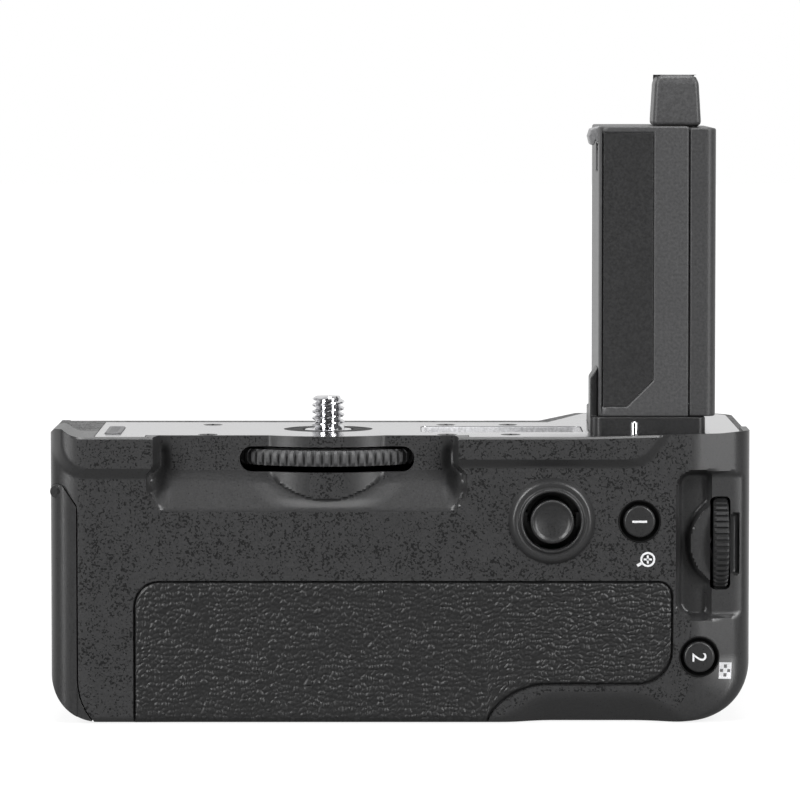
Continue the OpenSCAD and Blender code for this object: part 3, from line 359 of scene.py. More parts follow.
class Look:
    """Nodes of a material or a world: each call adds one and gives back what comes out of it."""

    def __init__(self, owner):
        owner.use_nodes = True
        self.owner, self.nodes = owner, owner.node_tree.nodes
        self.coords = self.add("TexCoord").outputs

    def fill(self, socket, value):
        """Links a socket to what another node puts out, or sets its value."""
        if isinstance(value, bpy.types.NodeSocket):
            self.owner.node_tree.links.new(value, socket)
        else:
            socket.default_value = value

    def add(self, kind, inputs=None, **settings):
        node = self.nodes.new("ShaderNode" + kind)
        for key, value in settings.items():
            setattr(node, key, value)
        for key, value in (inputs or {}).items():
            self.fill(node.inputs[key], value)
        return node

    def noise(self, size, detail=2.0, roughness=0.5, place=None):
        """Cloudy pattern with features of about the given size in millimetres."""
        inputs = {"Scale": 1 / (size * MM), "Detail": detail, "Roughness": roughness}
        return self.add("TexNoise", {"Vector": place or self.coords["Object"], **inputs}).outputs["Fac"]

    def spread(self, value, low, high, to_low=0.0, to_high=1.0):
        """Maps a value from one range to another, clamped."""
        inputs = {"Value": value, "From Min": low, "From Max": high, "To Min": to_low, "To Max": to_high}
        return self.add("MapRange", inputs).outputs["Result"]

    def maths(self, operation, a, b):
        return self.add("Math", {0: a, 1: b}, operation=operation).outputs[0]

    def blend(self, amount, a, b):
        node = self.add("Mix", data_type="RGBA")
        for key, value in (("Factor", amount), ("A", a), ("B", b)):
            self.fill([s for s in node.inputs if s.name == key and s.enabled][0], value)
        return [s for s in node.outputs if s.enabled][0]

    def mottle(self, pattern, low, high, a, b, most=1.0):
        """Goes from tone a towards tone b as the pattern goes from low to high."""
        return self.blend(self.spread(pattern, low, high, 0.0, most), a, b)

    def surface(self, tone, roughness, relief, depth, strength=1.0, specular=0.5, metallic=0.0):
        """Fills the surface and gives back the material; the relief is depth millimetres deep."""
        bump = self.add("Bump", {"Height": relief, "Distance": depth * MM, "Strength": strength})
        values = {"Base Color": tone, "Roughness": roughness, "Normal": bump.outputs["Normal"],
                  "Specular IOR Level": specular, "Metallic": metallic}
        for key, value in values.items():
            self.fill(self.nodes["Principled BSDF"].inputs[key], value)
        return self.owner


def new_look(name):
    return Look(bpy.data.materials.new(name))


def grey(level):
    return (level, level, level * 1.02, 1.0)


def plastic(name, level, roughness, texture, grain=0.35, specular=0.4, flecked=False):
    """Spark-textured plastic: fine grain, dark flecks and a slightly uneven sheen."""
    look = new_look(name)
    fine = relief = look.noise(grain, 3.0, 0.6)
    tone = look.mottle(fine, 0.3, 0.7, grey(level * 0.72), grey(level * 1.22))
    tone = look.mottle(look.noise(9.0, 3.0), 0.3, 0.7, tone, grey(level * 0.7), 0.22)
    sheen = look.spread(fine, 0.25, 0.75, roughness - 0.07, roughness + 0.09)
    if flecked:
        edge = look.spread(look.noise(3.0, 1.0), 0.3, 0.7, 0.38, 0.48)
        blots = look.noise(0.42, 2.0, 0.6)
        fleck = look.spread(look.maths("SUBTRACT", blots, edge), -0.03, 0.03, 1.0, 0.0)
        tone = look.blend(fleck, tone, grey(level * 0.3))
        relief = look.maths("SUBTRACT", fine, look.maths("MULTIPLY", fleck, 0.9))
        sheen = look.maths("ADD", sheen, look.maths("MULTIPLY", fleck, 0.25))
        specular = look.spread(fleck, 0.0, 1.0, specular, specular * 0.35)
    return look.surface(tone, sheen, relief, texture, specular=specular)


def bright_metal(name, level, roughness, brush=(1, 1, 1), scratch=0.01):
    """Metal with fine brush lines along one axis, or an even polish."""
    look = new_look(name)
    stretched = look.add("Mapping", {"Vector": look.coords["Object"], "Scale": brush}).outputs["Vector"]
    lines = look.noise(0.5, 4.0, 0.6, stretched)
    tone = look.mottle(lines, 0.3, 0.7, grey(level * 0.93), grey(level))
    tone = look.mottle(look.noise(14.0), 0.35, 0.65, tone, grey(level * 0.9), 0.3)
    sheen = look.spread(lines, 0.25, 0.75, roughness * 0.8, roughness * 1.25)
    return look.surface(tone, sheen, lines, scratch, 0.6, metallic=1.0)


def coated_metal(name, level, roughness=0.35):
    """Blackened or painted steel with faint mottling."""
    look = new_look(name)
    fine = look.noise(0.25, 3.0)
    tone = look.mottle(fine, 0.3, 0.7, grey(level * 0.7), grey(level * 1.25))
    sheen = look.spread(fine, 0.3, 0.7, roughness - 0.05, roughness + 0.1)
    return look.surface(tone, sheen, fine, 0.008, metallic=0.6)


def tinted(name, colour, roughness, metallic=0.0, texture=0.01):
    """Coloured plastic, film or plating with a slightly uneven tone."""
    look = new_look(name)
    fine = look.noise(0.3, 3.0)
    dark = tuple(c * 0.75 for c in colour[:3]) + (1.0,)
    tone = look.mottle(fine, 0.3, 0.7, dark, colour)
    tone = look.mottle(look.noise(5.0), 0.4, 0.7, tone, dark, 0.35)
    sheen = look.spread(fine, 0.3, 0.7, roughness - 0.04, roughness + 0.08)
    return look.surface(tone, sheen, fine, texture, metallic=metallic)


def pebbled_leather(name, level, bend=0.5 * MM):
    """Leatherette: rounded pebbles and finer wrinkles on top, with painted shade in the creases and a
    painted highlight on the pebble tops.
    """
    look = new_look(name)
    warp = look.noise(2.0)
    wave = look.add("CombineXYZ", {"X": look.spread(warp, 0.0, 1.0, -bend, bend),
                                   "Z": look.spread(warp, 0.0, 1.0, bend, -bend)}).outputs[0]
    place = look.add("VectorMath", {0: look.coords["Object"], 1: wave}, operation="ADD").outputs[0]
    cells = look.add("TexVoronoi", {"Vector": place, "Scale": 1 / (1.15 * MM), "Smoothness": 0.35},
                     feature="SMOOTH_F1").outputs["Distance"]
    wrinkles = look.noise(0.4, 4.0, 0.65, place)
    relief = look.maths("SUBTRACT", look.maths("MULTIPLY", wrinkles, 0.55), cells)
    # Painted shade and highlight: the tone follows the relief, darker down in the creases and paler on the
    # pebble tops.
    tone = look.mottle(relief, -0.55, 0.25, grey(level * 0.45), grey(level * 1.35))
    return look.surface(tone, look.spread(relief, -0.5, 0.3, 0.62, 0.42), relief, 0.16, 0.9, 0.45)


def creased_leather(name, level):
    """Leatherette whose pebbles are in the mesh: painted shade in the creases, a painted highlight on the
    pebble tops, and fine pores.
    """
    look = new_look(name)
    height = look.add("Attribute", attribute_name="relief").outputs["Fac"]
    pores = look.noise(0.28, 4.0, 0.65)
    # Painted shade and highlight: darker down in the creases and paler on the pebble tops, following the
    # stored relief.
    tone = look.mottle(height, 0.05, 0.8, grey(level * 0.55), grey(level * 1.2))
    tone = look.mottle(pores, 0.3, 0.7, tone, grey(level * 0.6), 0.35)
    tone = look.mottle(look.noise(6.0), 0.35, 0.65, tone, grey(level * 0.75), 0.2)
    return look.surface(tone, look.spread(pores, 0.25, 0.75, 0.34, 0.46), pores, 0.015, 0.8)


COVER = plastic("cover_plastic", 0.037, 0.40, 0.010, flecked=True)
SMOOTH_COVER = plastic("smooth_cover_plastic", 0.028, 0.33, 0.006, specular=0.55)
BASE = plastic("base_plastic", 0.022, 0.55, 0.03)
TOWER = plastic("tower_plastic", 0.066, 0.4, 0.006, grain=0.5)
TOWER_PANEL = plastic("tower_panel_plastic", 0.027, 0.36, 0.005, grain=0.5)
TOWER_SIDE = plastic("tower_side_plastic", 0.050, 0.4, 0.006, grain=0.5)
TOWER_DARK = plastic("tower_dark_plastic", 0.020, 0.36, 0.005, grain=0.5)
CONTROL = plastic("control_black", 0.024, 0.32, 0.006, grain=0.3, specular=0.5)
# Near-black: black plastic darkened past its own colour as painted shade, for the wells round the buttons
# and the gap round the joystick cap.
SHADE_BLACK = plastic("black_plastic_painted_shade", 0.003, 0.5, 0.004, grain=0.3, specular=0.2)
DIAL_BLACK = plastic("dial_black", 0.028, 0.42, 0.01, grain=0.3)
WHEEL = plastic("wheel_grey", 0.085, 0.42, 0.01, grain=0.3)
LEATHER = pebbled_leather("leatherette", 0.020)
REAR_LEATHER = creased_leather("rear_leatherette", 0.016)
SEAT_METAL = bright_metal("seat_metal", 0.53, 0.14, brush=(0.05, 1, 1))
CHROME = bright_metal("chrome", 0.82, 0.07, scratch=0.003)
STEEL = bright_metal("steel", 0.55, 0.28, brush=(1, 1, 0.2))
BLACK_STEEL = coated_metal("black_steel", 0.03)
RUBBER = plastic("rubber", 0.03, 0.7, 0.02, specular=0.25)
PAD_GREY = plastic("pad_grey", 0.16, 0.6, 0.02, specular=0.3)
TRAY = plastic("tray_silver", 0.5, 0.4, 0.004, grain=0.5)
PALE = plastic("pale_plastic", 0.30, 0.45, 0.008, grain=0.5)
CATCH = tinted("catch_plastic", (0.05, 0.12, 0.34, 1.0), 0.4)
GOLD = tinted("contact_gold", (0.75, 0.52, 0.2, 1.0), 0.24, metallic=1.0, texture=0.004)
BOARD = tinted("board_green", (0.02, 0.11, 0.06, 1.0), 0.35)
LEAD = tinted("lead_amber", (0.42, 0.2, 0.05, 1.0), 0.3)
MARK = plastic("white_mark", 0.82, 0.5, 0.002, grain=0.2)


# Rear cover: one sculpted face, with its recess, dial pocket, bands and scooped corner

ABOVE = SEAT + 30
BAND_RISE = 1.3
BAND_LEFT = (LEFT + 2.3, 48.5, 40.0)
BAND_RIGHT = (48.9, 50.25)
BAND_STRIPS = (2.0, 1.55)
WALL, WALL_CLEAR = 1.3, 1.5
RECESS_DEPTH = 4.4
RECESS_SIDES = (-46.7, 10.9)
RECESS_FLARE = (1.5, 1.7)
RECESS_FLARE_TOP, SLOPE_TOP, RECESS_FOOT = SEAT - 5.3, SEAT - 7.4, SEAT - 14.0
FLUTE_W, FLUTE_DEPTH = 3.3, 1.15
BULGE_R = 21.2
UNDERCUT = 0.4
LIP_R, LIP_H, LIP_END = 5.0, 1.5, LEFT + 6.0
DOOR_CORNER_R, DIAL_CORNER_R = 9.3, 11.5
DOOR_EDGE = (7.5, 4.2)
DIAL_EDGE = (3.5, 2.5)
DIAL_TURN = (13.0, 0.36)
FOOT_EDGE = (1.3, 1.2)
POCKET = (52.5, 19.6, 47.9)
SHELF_X, SHELF_DEPTH, TROUGH_DEPTH = 59.0, 2.2, 2.3
HALF_MOON = (63.9, JOINT["rear_dial_turn"].z, 8.9)
SCOOP_X = (16.5, 29.0, 44.0, 58.0)
SCOOP_H, SCOOP_SLOPE = 5.1, 0.8
SCOOP_BACK = REAR + 5.4


def seat_edge(x):
    """Height of the upper edge: a lip at the door end, level along the seat, a low rise at the dial end."""
    rise = SEAT + LIP_R - np.sqrt(np.clip(LIP_R ** 2 - np.clip(LIP_END - x, 0, LIP_R) ** 2, 0, None))
    lip = np.minimum(rise, SEAT + LIP_H) - np.clip(LEFT + 0.9 - x, 0, 0.9) * 0.9
    return lip + 0.55 * ease((x - 30) / 28) + 0.35 * ease((x - 60) / 6)


def side_limits(z):
    """Left and right outline of the body at a height, with its round lower corners."""
    def corner(radius):
        t = np.clip(radius - z, 0, radius)
        return radius - np.sqrt(radius ** 2 - t ** 2)
    return LEFT + corner(DOOR_CORNER_R), RIGHT - corner(DIAL_CORNER_R)


def turned_edge(distance, width, depth):
    """Fall of a surface as it rounds over an edge, over a width and to a depth."""
    t = unit(1 - distance / width)
    return depth * (1 - np.sqrt(1 - 0.998 * t * t))


def bands(x, z):
    """Rise of the two raised bands under the seat; each falls to the face over a chamfer strip."""
    left = inside(x, z, *BAND_LEFT, ABOVE, 5.0)
    slant = ((BAND_RIGHT[0] - x) * 4.4 - (SEAT - z) * 3.2) / 5.44
    right = smooth_min(slant, z - BAND_RIGHT[1], 2.4)
    distance = np.where(x < SCREW.x, left, right)
    strip = np.where(x < SCREW.x, *BAND_STRIPS)
    return BAND_RISE * unit(1 + distance / strip)


def recess(x, z):
    """Depth of the thumbwheel recess: upright wall, slope below it and a hollow flute at each side."""
    wide = ease((RECESS_FLARE_TOP - z) / 2.4)
    x0 = RECESS_SIDES[0] - RECESS_FLARE[0] * wide
    x1 = RECESS_SIDES[1] + RECESS_FLARE[1] * wide
    s = inside(x, z, x0, RECESS_FOOT - 0.3, x1, ABOVE, 5.2)
    slope = RECESS_DEPTH * (z - RECESS_FOOT) / (SLOPE_TOP - RECESS_FOOT)
    middle = smooth_min(slope, RECESS_DEPTH, 0.9)
    flute = FLUTE_W + 1.5 * wide
    across = np.minimum(x - x0, x1 - x)
    hollow = FLUTE_DEPTH * (1 - ease((across / flute - 0.3) / 0.7)) * unit(slope / 2.6)
    hollow = hollow * (1 - 0.7 * ease((z - SEAT + 3.4) / 2.0))
    start = -BAND_RISE - 0.1
    wall = np.where(s > 0, start + 7.0 * cove(s, 1.3), start + 4 * s)
    return smooth_min(middle + hollow, wall, 0.4)


def dial_pocket(x, z):
    """Depth of the dial pocket: a shelf round the dial and a deep trough beside it with a half-moon boss."""
    x0, z0, z1 = POCKET
    s = inside(x, z, x0, z0, RIGHT + 40, z1, 3.0)
    shelf = np.where(s > 0, SHELF_DEPTH * cove(s, 1.3), 3 * s)
    cx, cz, radius = HALF_MOON
    moon = np.hypot(x - cx, z - cz) - radius
    trough = smooth_min(smooth_min(SHELF_X - x, s, 1.6), moon, 0.3)
    notch = inside(x, z, 62.9, cz - 6.0, 64.5, cz + 5.6, 0.6)
    return shelf + TROUGH_DEPTH * cove(trough, 1.1) + 1.1 * cove(notch, 0.7)


def scoop_height(x):
    a, b, c, d = SCOOP_X
    return SCOOP_H * ease((x - a) / (b - a)) * (1 - ease((x - c) / (d - c)))


def end_fall(x, z):
    """How far the face falls back at the floor edge and over the broad round of the dial end."""
    foot = turned_edge(z, *FOOT_EDGE)
    outline = side_limits(z)[1] - x
    width, fall = DIAL_TURN
    t = unit(1 - outline / width)
    turn = width * fall * np.where(t < 0.3, t * t / 0.6, t - 0.15)
    end = turn * (0.45 + 0.55 * ease((z - 2) / 11)) + turned_edge(outline, *DIAL_EDGE)
    return np.maximum(foot, end)


def rear_face(x, z):
    """Depth (Y) of the rear cover's outer face."""
    y = REAR - bands(x, z)
    y = smooth_max(y, REAR + recess(x, z), 0.22)
    boss = SCREW.y - np.sqrt(np.clip(BULGE_R ** 2 - (x - SCREW.x) ** 2, 0, None))
    under = UNDERCUT * (1 - ease((np.hypot(x - SCREW.x, y - SCREW.y) - BULGE_R) / 3.4))
    under = under * ease((z - RECESS_FOOT) / 2.4) * ease((SLOPE_TOP - z) / 1.5)
    under = under * (np.abs(x - SCREW.x) < BULGE_R)
    y = np.where((y < boss) & (z < SLOPE_TOP), y + under, smooth_min(y, boss, 0.25))
    y = y + end_fall(x, z) + turned_edge(x - LEFT, *DOOR_EDGE)
    y = smooth_max(y, REAR + SCOOP_SLOPE * (scoop_height(x) - z), 0.9)
    y = smooth_max(y, REAR + dial_pocket(x, z) + 0.45 * end_fall(x, z), 0.25)
    return np.maximum(y, REAR - BAND_RISE + round_over(seat_edge(x) - z, 0.5))


def boundary_edges(piece):
    edit(piece)
    mesh.select_mode(type="EDGE")
    mesh.select_all(action="DESELECT")
    mesh.select_non_manifold(extend=False, use_wire=False, use_multi_face=False,
                             use_non_contiguous=False, use_verts=False)


def carry_back(sheet, stop):
    """Carries the border of a sheet straight back to the stop plane and leaves it selected."""
    boundary_edges(sheet)
    mesh.extrude_edges_move(TRANSFORM_OT_translate={"value": (0, 0, 0)})
    bpy.ops.transform.resize(value=(1, 0, 1), center_override=(0, stop, 0))


def sculpted_sheet(columns, rows, inset, stop):
    """Grid over the rear outline, shaped by rear_face and carried straight back to the stop plane.

    With an inset it is the inner side of the wall, which keeps clear of the outer side all round."""
    sheet = sheet_of(columns, rows)
    grid = points_of(sheet) + (0.5, 0.5, 0)
    curl = 0.25
    v = grid[:, 1]
    low = DIAL_CORNER_R * (1 - np.cos(unit(v / curl) * math.pi / 2))
    z = np.where(v < curl, low, DIAL_CORNER_R + (SEAT - DIAL_CORNER_R) * (v - curl) / (1 - curl))
    x0, x1 = side_limits(z)
    x = x0 + (x1 - x0) * grid[:, 0]
    if inset > 0:
        middle = (LEFT + RIGHT) / 2
        x = middle + (x - middle) * (1 - inset / (RIGHT - middle))
        z = inset + z * (1 - 2.4 * inset / SEAT)
        reach = (-WALL_CLEAR, 0, WALL_CLEAR)
        y = np.max([rear_face(x + a, z + b) for a in reach for b in reach], axis=0) + WALL
    else:
        under = PLATE_BED - 3
        z = np.where(z > under, z + (seat_edge(x) - SEAT) * (z - under) / (SEAT - under), z)
        y = rear_face(x, z)
    set_points(sheet, np.column_stack([x, np.minimum(y, stop - 0.2), z]))
    carry_back(sheet, stop)
    return done()


THROUGH = (REAR - 3, SPLIT + 1)
STICK = JOINT["joystick_tilt_up"]
AF_SPOT, AEL_SPOT = (45.3, 38.4), (56.7, 12.6)
AF_HOLE_R, AEL_HOLE_R, STICK_HOLE_R = 4.1, 3.9, 6.0
WHEEL_SLOT = (SCREW.x - 16.6, SCREW.x + 16.6, 47.5, 52.35)
DIAL_AXIS = JOINT["rear_dial_turn"]
DIAL_SLOT = (58.85, 62.75, DIAL_AXIS.z - 8.9, DIAL_AXIS.z + 8.9)
DOOR_GAP, SKIN_GAP, SKIN_SINK = 0.26, 0.2, 0.9
SKIN = (-50.6, 51.6, 26.9, 7.25)
SKIN_BEND = (16.5, 27.6)
SKIN_R = (6.7, 2.7, 4.8)
PLATE_RIM = 0.7
PLATE_STEPS = (-47.8, 12.3)
PLATE_STEP_R = 1.2


def skin_outline(grow):
    """Rear leatherette: round corners, and a lower edge that sweeps up before the scooped corner."""
    x0, x1, top, step = np.array(SKIN) + (-grow, grow, grow, -grow)
    start, end = SKIN_BEND
    outline = [(x0, -1.0 - grow), (start + grow * 1.5, -1.0 - grow)]
    for angle in np.linspace(0.06, math.pi / 2, 15):
        reach = (end - start) * math.cos(angle) ** 1.15
        outline.append((end + grow - reach, step * math.sin(angle) ** 1.25))
    low_r, high_r, left_r = SKIN_R
    outline += arc((x1 - low_r, step + low_r), low_r, 270, 360)
    outline += arc((x1 - high_r, top - high_r), high_r, 0, 90)
    return outline + arc((x0 + left_r, top - left_r), left_r, 90, 180)


def door_foot(right):
    """Lower part of the door's inner edge, which sweeps towards the middle at the floor."""
    return [(right + 2.9 * t ** 2.4, 9.0 - 8.7 * t) for t in np.linspace(0, 1, 11)]


def door_outline(grow):
    """Door seen from the rear: its shoulder slopes up to the hinge barrel at the outer edge."""
    barrel = HINGE.x - LEFT + grow * 0.3
    right = door_high.x + grow
    shoulder = HINGE.z - 2.9
    outline = [(LEFT - 1 - grow, -1), (right + 3.2, -1)] + door_foot(right)[::-1]
    outline += [(right, shoulder - 1.6), (right - 0.3 + grow * 0.4, shoulder + grow * 1.3)]
    outline += arc((HINGE.x, HINGE.z), barrel, 40, 180, 8)
    return outline + [(LEFT - 1 - grow, HINGE.z + grow * 0.3)]


def plate_corner(rim):
    """Edge of the seat plate along the round of the dial end."""
    x = np.linspace(46, plate_high.x - PLATE_RIM + rim, 16)
    return list(zip(x, np.maximum(REAR, rear_face(x, np.full(16, SEAT - 2.0))) + rim))


def plate_outline(grow):
    """Seat plate along the rear: steps back round the recess and swells over the thumbwheel."""
    rim = PLATE_RIM - grow
    x0, x1 = plate_low.x - grow, plate_high.x - PLATE_RIM + rim
    y0 = REAR + rim
    back = REAR + RECESS_DEPTH + rim
    half = math.sqrt((BULGE_R - rim) ** 2 - back ** 2)
    side = math.degrees(math.atan2(half, -back))
    swell = arc((SCREW.x, SCREW.y), BULGE_R - rim, 270 - side, 270 + side, 24)
    left, right, r = PLATE_STEPS[0] - rim, PLATE_STEPS[1] + rim, PLATE_STEP_R
    outline = [(x0, y0), (left, y0)] + arc((left + r, back - r), r, 180, 90, 6) + swell
    outline += arc((right - r, back - r), r, 90, 0, 6) + [(right, y0)]
    return outline + plate_corner(rim) + [(x1, SPLIT + 2), (x0, SPLIT + 2)]


def smooth_parts(cover):
    """Gives sloping faces and the dial pocket a smooth finish; the flecks are on the flat faces."""
    faces = cover.data.polygons
    x, _, z = (read(faces, "center") / MM).T
    pocket = (x > POCKET[0]) & (z > POCKET[1]) & (z < POCKET[2])
    sloping = read(faces, "normal")[:, 1] > -math.cos(math.radians(9))
    cover.data.materials.append(SMOOTH_COVER)
    faces.foreach_set("material_index", (sloping | pocket).astype(np.int32))
    cover.data.update()


def rear_cover():
    cover = join([sculpted_sheet(400, 165, 0, SPLIT), sculpted_sheet(110, 48, 1.7, SPLIT)])
    boundary_edges(cover)
    mesh.bridge_edge_loops()
    done()
    outward(cover)
    holes = [prism(rounded(x0, z0, x1, z1, radius), *THROUGH, "Y")
             for (x0, x1, z0, z1), radius in ((WHEEL_SLOT, 2.3), (DIAL_SLOT, 1.1))]
    rounds = (((STICK.x, STICK.z), STICK_HOLE_R), (AF_SPOT, AF_HOLE_R), (AEL_SPOT, AEL_HOLE_R))
    holes += [disc(spot, radius, *THROUGH) for spot, radius in rounds]
    skin_bed = prism(skin_outline(SKIN_GAP), THROUGH[0], REAR + SKIN_SINK, "Y")
    cut(cover, *holes, skin_bed)
    cut(cover, prism(door_outline(DOOR_GAP), *THROUGH, "Y"))
    cut(cover, prism(plate_outline(0.12), PLATE_BED, SEAT + 4))
    cut(cover, block((LEFT + 9.0, REAR + 1.7, -1), (SCOOP_X[0] - 2, SPLIT + 1, 1.25)))
    cut(cover, block((SCOOP_X[0] - 2.1, SCOOP_BACK, -1), (RIGHT - DIAL_CORNER_R + 0.2, SPLIT + 1, 1.25)))
    finish(cover, "rear_cover", COVER, 28)
    smooth_parts(cover)


rear_cover()


# Door, front cover and base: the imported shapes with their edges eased

FRONT = door_high.y
SHOULDER = [(12.0, 23.2), (27.4, 23.2), (35.6, 46.5), (12.0, 46.5)]
SHOULDER_FALL = 0.09


def battery_door():
    """End door with the foot that sweeps along the floor and the closed end of its hinge barrel."""
    door = copy_of("battery_door")
    right, radius = door_high.x, DOOR_CORNER_R
    foot = [(right - 2, 9.2), (right, 9.2)] + door_foot(right)
    for x in np.linspace(right + 2.8, right - 2, 9):
        foot.append((x, 0.1 + radius - math.sqrt(radius ** 2 - (LEFT + radius - x) ** 2)))
    fuse(door, soften(prism(foot, REAR + 0.2, FRONT, "Y"), 0.3))
    fuse(door, soften(disc((HINGE.x, HINGE.z), HINGE.x - LEFT, REAR + 1.1, REAR + 3.0), 0.2))
    finish_eased(door, "battery_door", SMOOTH_COVER)


def front_cover():
    """Front half: its lip follows the rear one, and the hand grip's top falls away from the seat."""
    cover = copy_of("front_cover")
    near = SHOULDER[0][1]
    x = np.linspace(LEFT - 1, LEFT + 9.5, 40)
    lip = list(zip(x, seat_edge(x))) + [(x[-1], SEAT + 6), (x[0], SEAT + 6)]
    cut(cover, prism(lip, SPLIT - 1, near - 16, "Y"))
    waste = prism(SHOULDER, 0, SEAT + 5)
    points = points_of(waste)
    low = points[:, 2] < 1
    points[low, 2] = SEAT - SHOULDER_FALL * (points[low, 1] - near)
    set_points(waste, points)
    cut(cover, waste)
    cut(cover, prism(door_outline(DOOR_GAP), SPLIT - 1, FRONT + 4, "Y"))
    finish_eased(cover, "front_cover", COVER, 0.3)


def case_screws():
    """Screws under the base, the one behind the scooped corner kept inside the wall."""
    screws = cut(copy_of("case_screws"), block((SCOOP_X[0], REAR - 1, -1), (RIGHT, SCOOP_BACK, 9)))
    finish(screws, "case_screws", BLACK_STEEL, EASED_ANGLE)


def base_plate():
    """Floor plate, set back behind the scooped corner."""
    corner = block((SCOOP_X[0] - 2.2, REAR - 1, -1), (RIGHT, SCOOP_BACK + 0.15, 3))
    finish_eased(cut(copy_of("base_plate"), corner), "base_plate", BASE, 0.25)


battery_door()
front_cover()
case_screws()
base_plate()
eased("door_latch", CONTROL, 0.25)


# Seat: plate with its screws, pocket and pad, the camera screw with its wheel, and the locating pin

THREAD_D, THREAD_PITCH, THREAD_DEPTH = 6.35, 1.27, 0.78
WHEEL_RIBS = 80
PLATE_SCREW_X, PLATE_SCREW_Y = (-36.7, 8.9, 21.0), (-15.4, 11.5)
PLATE_SCREW_R, PLATE_SCREW_SHANK = 1.8, 0.85
SCREW_SPOT = (SCREW.x, SCREW.y, 0)
screw_low, screw_high = size_of("attachment_screw")
FLANGE_R = (screw_high.x - screw_low.x) / 2


def top_plate():
    """Seat plate with fine eased edges, trimmed along the round of the dial end."""
    corner = plate_corner(PLATE_RIM)
    waste = corner + [(RIGHT, corner[-1][1]), (RIGHT, REAR - 2), (corner[0][0], REAR - 2)]
    plate = copy_of("top_plate")
    cut(plate, prism(waste, PLATE_BED - 1, SEAT + 1))
    finish_eased(plate, "top_plate", SEAT_METAL, 0.16)


def cross_head(x, y, low, top):
    """Countersunk screw with a cross recess, standing along Z."""
    radius, shank = PLATE_SCREW_R, PLATE_SCREW_SHANK
    head = turned([(0, low), (shank, low), (shank, top - 1.2), (radius, top - 0.25), (radius - 0.12, top),
                   (0, top)], (x, y, 0), steps=40)
    arm, half = radius * 0.62, radius * 0.13
    for a, b in ((arm, half), (half, arm)):
        cut(head, block((x - a, y - b, top - 0.6), (x + a, y + b, top + 1)))
    return soften(head, 0.05, 1)


def plate_screws():
    low, high = size_of("plate_screws")
    heads = [cross_head(x, y, low.z, high.z) for x in PLATE_SCREW_X for y in PLATE_SCREW_Y]
    finish(join(heads), "plate_screws", BLACK_STEEL)


def attachment_screw():
    """Camera screw with a flange and a thread that runs out at its tip."""
    z0, z1, flange = screw_low.z, screw_high.z, FLANGE_R
    crest, root = THREAD_D / 2, THREAD_D / 2 - THREAD_DEPTH

    def limit(angle, height):
        phase = np.mod(height / THREAD_PITCH - angle / math.tau, 1.0)
        tooth = unit((np.abs(2 * phase - 1) - 0.16) / 0.62)
        groove = root + (crest - root) * tooth * np.clip((z1 - height) / 0.5, 0.25, 1)
        return np.where(height > SEAT + 0.2, groove, flange + 1)

    profile = [(0, z0), (flange - 0.3, z0), (flange, z0 + 0.3), (flange, SEAT - 0.35), (flange - 0.3, SEAT),
               (crest + 0.5, SEAT), (crest + 0.4, SEAT - 0.25), (crest, SEAT - 0.25)]
    profile += [(crest, z) for z in np.arange(SEAT + 0.35, z1 - 0.55, THREAD_PITCH / 12)]
    profile += [(crest - 0.2, z1 - 0.4), (root - 0.05, z1), (0, z1)]
    finish(turned(profile, SCREW_SPOT, steps=72, limit=limit), "attachment_screw", CHROME)


def attachment_wheel():
    low, high = size_of("attachment_wheel")
    outer = (high.x - low.x) / 2
    side = [(3.2, 0), (2.9, 0.2), (0.75, 0.2), (0.1, 0.75), (0, 0.95)]
    profile = rim_profile(FLANGE_R + 0.02, outer, low.z, high.z, side)
    rim = ribs(outer, WHEEL_RIBS, 0.8, 0.66)
    finish(turned(profile, SCREW_SPOT, steps=WHEEL_RIBS * 10, limit=rim), "attachment_wheel", WHEEL)


def screw_pad():
    low, high = size_of("screw_pad")
    z0, z1, outer, inner = low.z, high.z, (high.x - low.x) / 2, FLANGE_R + 0.25
    ring = turned([(inner, z0), (outer, z0), (outer, z1 - 0.1), (outer - 0.15, z1), (outer - 1.0, z1),
                   (outer - 1.2, z1 - 0.12), (outer - 1.5, z1 - 0.12), (outer - 1.7, z1), (inner + 0.15, z1),
                   (inner, z1 - 0.1)], SCREW_SPOT, steps=128)
    finish(ring, "screw_pad", RUBBER)


def positioning_pin():
    low, high = size_of("positioning_pin")
    r, z0, z1 = (high.x - low.x) / 2, low.z, high.z
    spot = ((low.x + high.x) / 2, (low.y + high.y) / 2, 0)
    tip = [(r * math.cos(a), z1 - r * 0.8 + r * 0.8 * math.sin(a)) for a in np.linspace(0, 1.45, 7)]
    profile = [(0, z0), (0.45, z0), (0.45, SEAT - 0.3), (r, SEAT - 0.25)] + tip + [(0, z1)]
    finish(turned(profile, spot, steps=40), "positioning_pin", CHROME)


def plate_pad():
    low, high = size_of("plate_pad")
    pad = soften(prism(rounded(low.x, low.y, high.x, high.y, 0.9), low.z, high.z), 0.2)
    grooves = [block((low.x + 0.7, y, high.z - 0.22), (high.x - 0.7, y + 0.45, high.z + 1))
               for y in np.arange(low.y + 1.4, high.y - 1.6, 1.35)]
    finish(cut(pad, *grooves), "plate_pad", PAD_GREY)


top_plate()
eased("pocket_tray", TRAY, 0.15)
plate_screws()
attachment_screw()
attachment_wheel()
screw_pad()
positioning_pin()
plate_pad()


# Controls: joystick, two rear buttons, the dials, and the shutter group at the dial end

STICK_SPOT = (STICK.x, 0, STICK.z)
MOUND_RISE = 1.5
MOUND = [(8.2, 0.02), (8.02, 0.2), (7.78, 0.5), (7.5, 0.78), (7.2, 0.95), (6.9, 1.0),
         (6.62, 0.92), (6.42, 0.84), (6.26, 0.88), (6.14, 1.06), (6.02, 1.3), (5.86, 1.46),
         (5.7, 1.46), (5.52, 1.3), (5.42, 1.05), (5.38, 0.6)]
BEZEL_FOOT = -size_of("button_rings")[1].y
AXLE_HOLE_R = 1.05
REAR_RIDGES, FRONT_RIDGES = 54, 42
SIDE_BUTTON_R = 2.6


def rearward(node):
    """Radius, foot and top of a part that stands towards the rear."""
    low, high = size_of(node)
    return (high.x - low.x) / 2, -high.y, -low.y


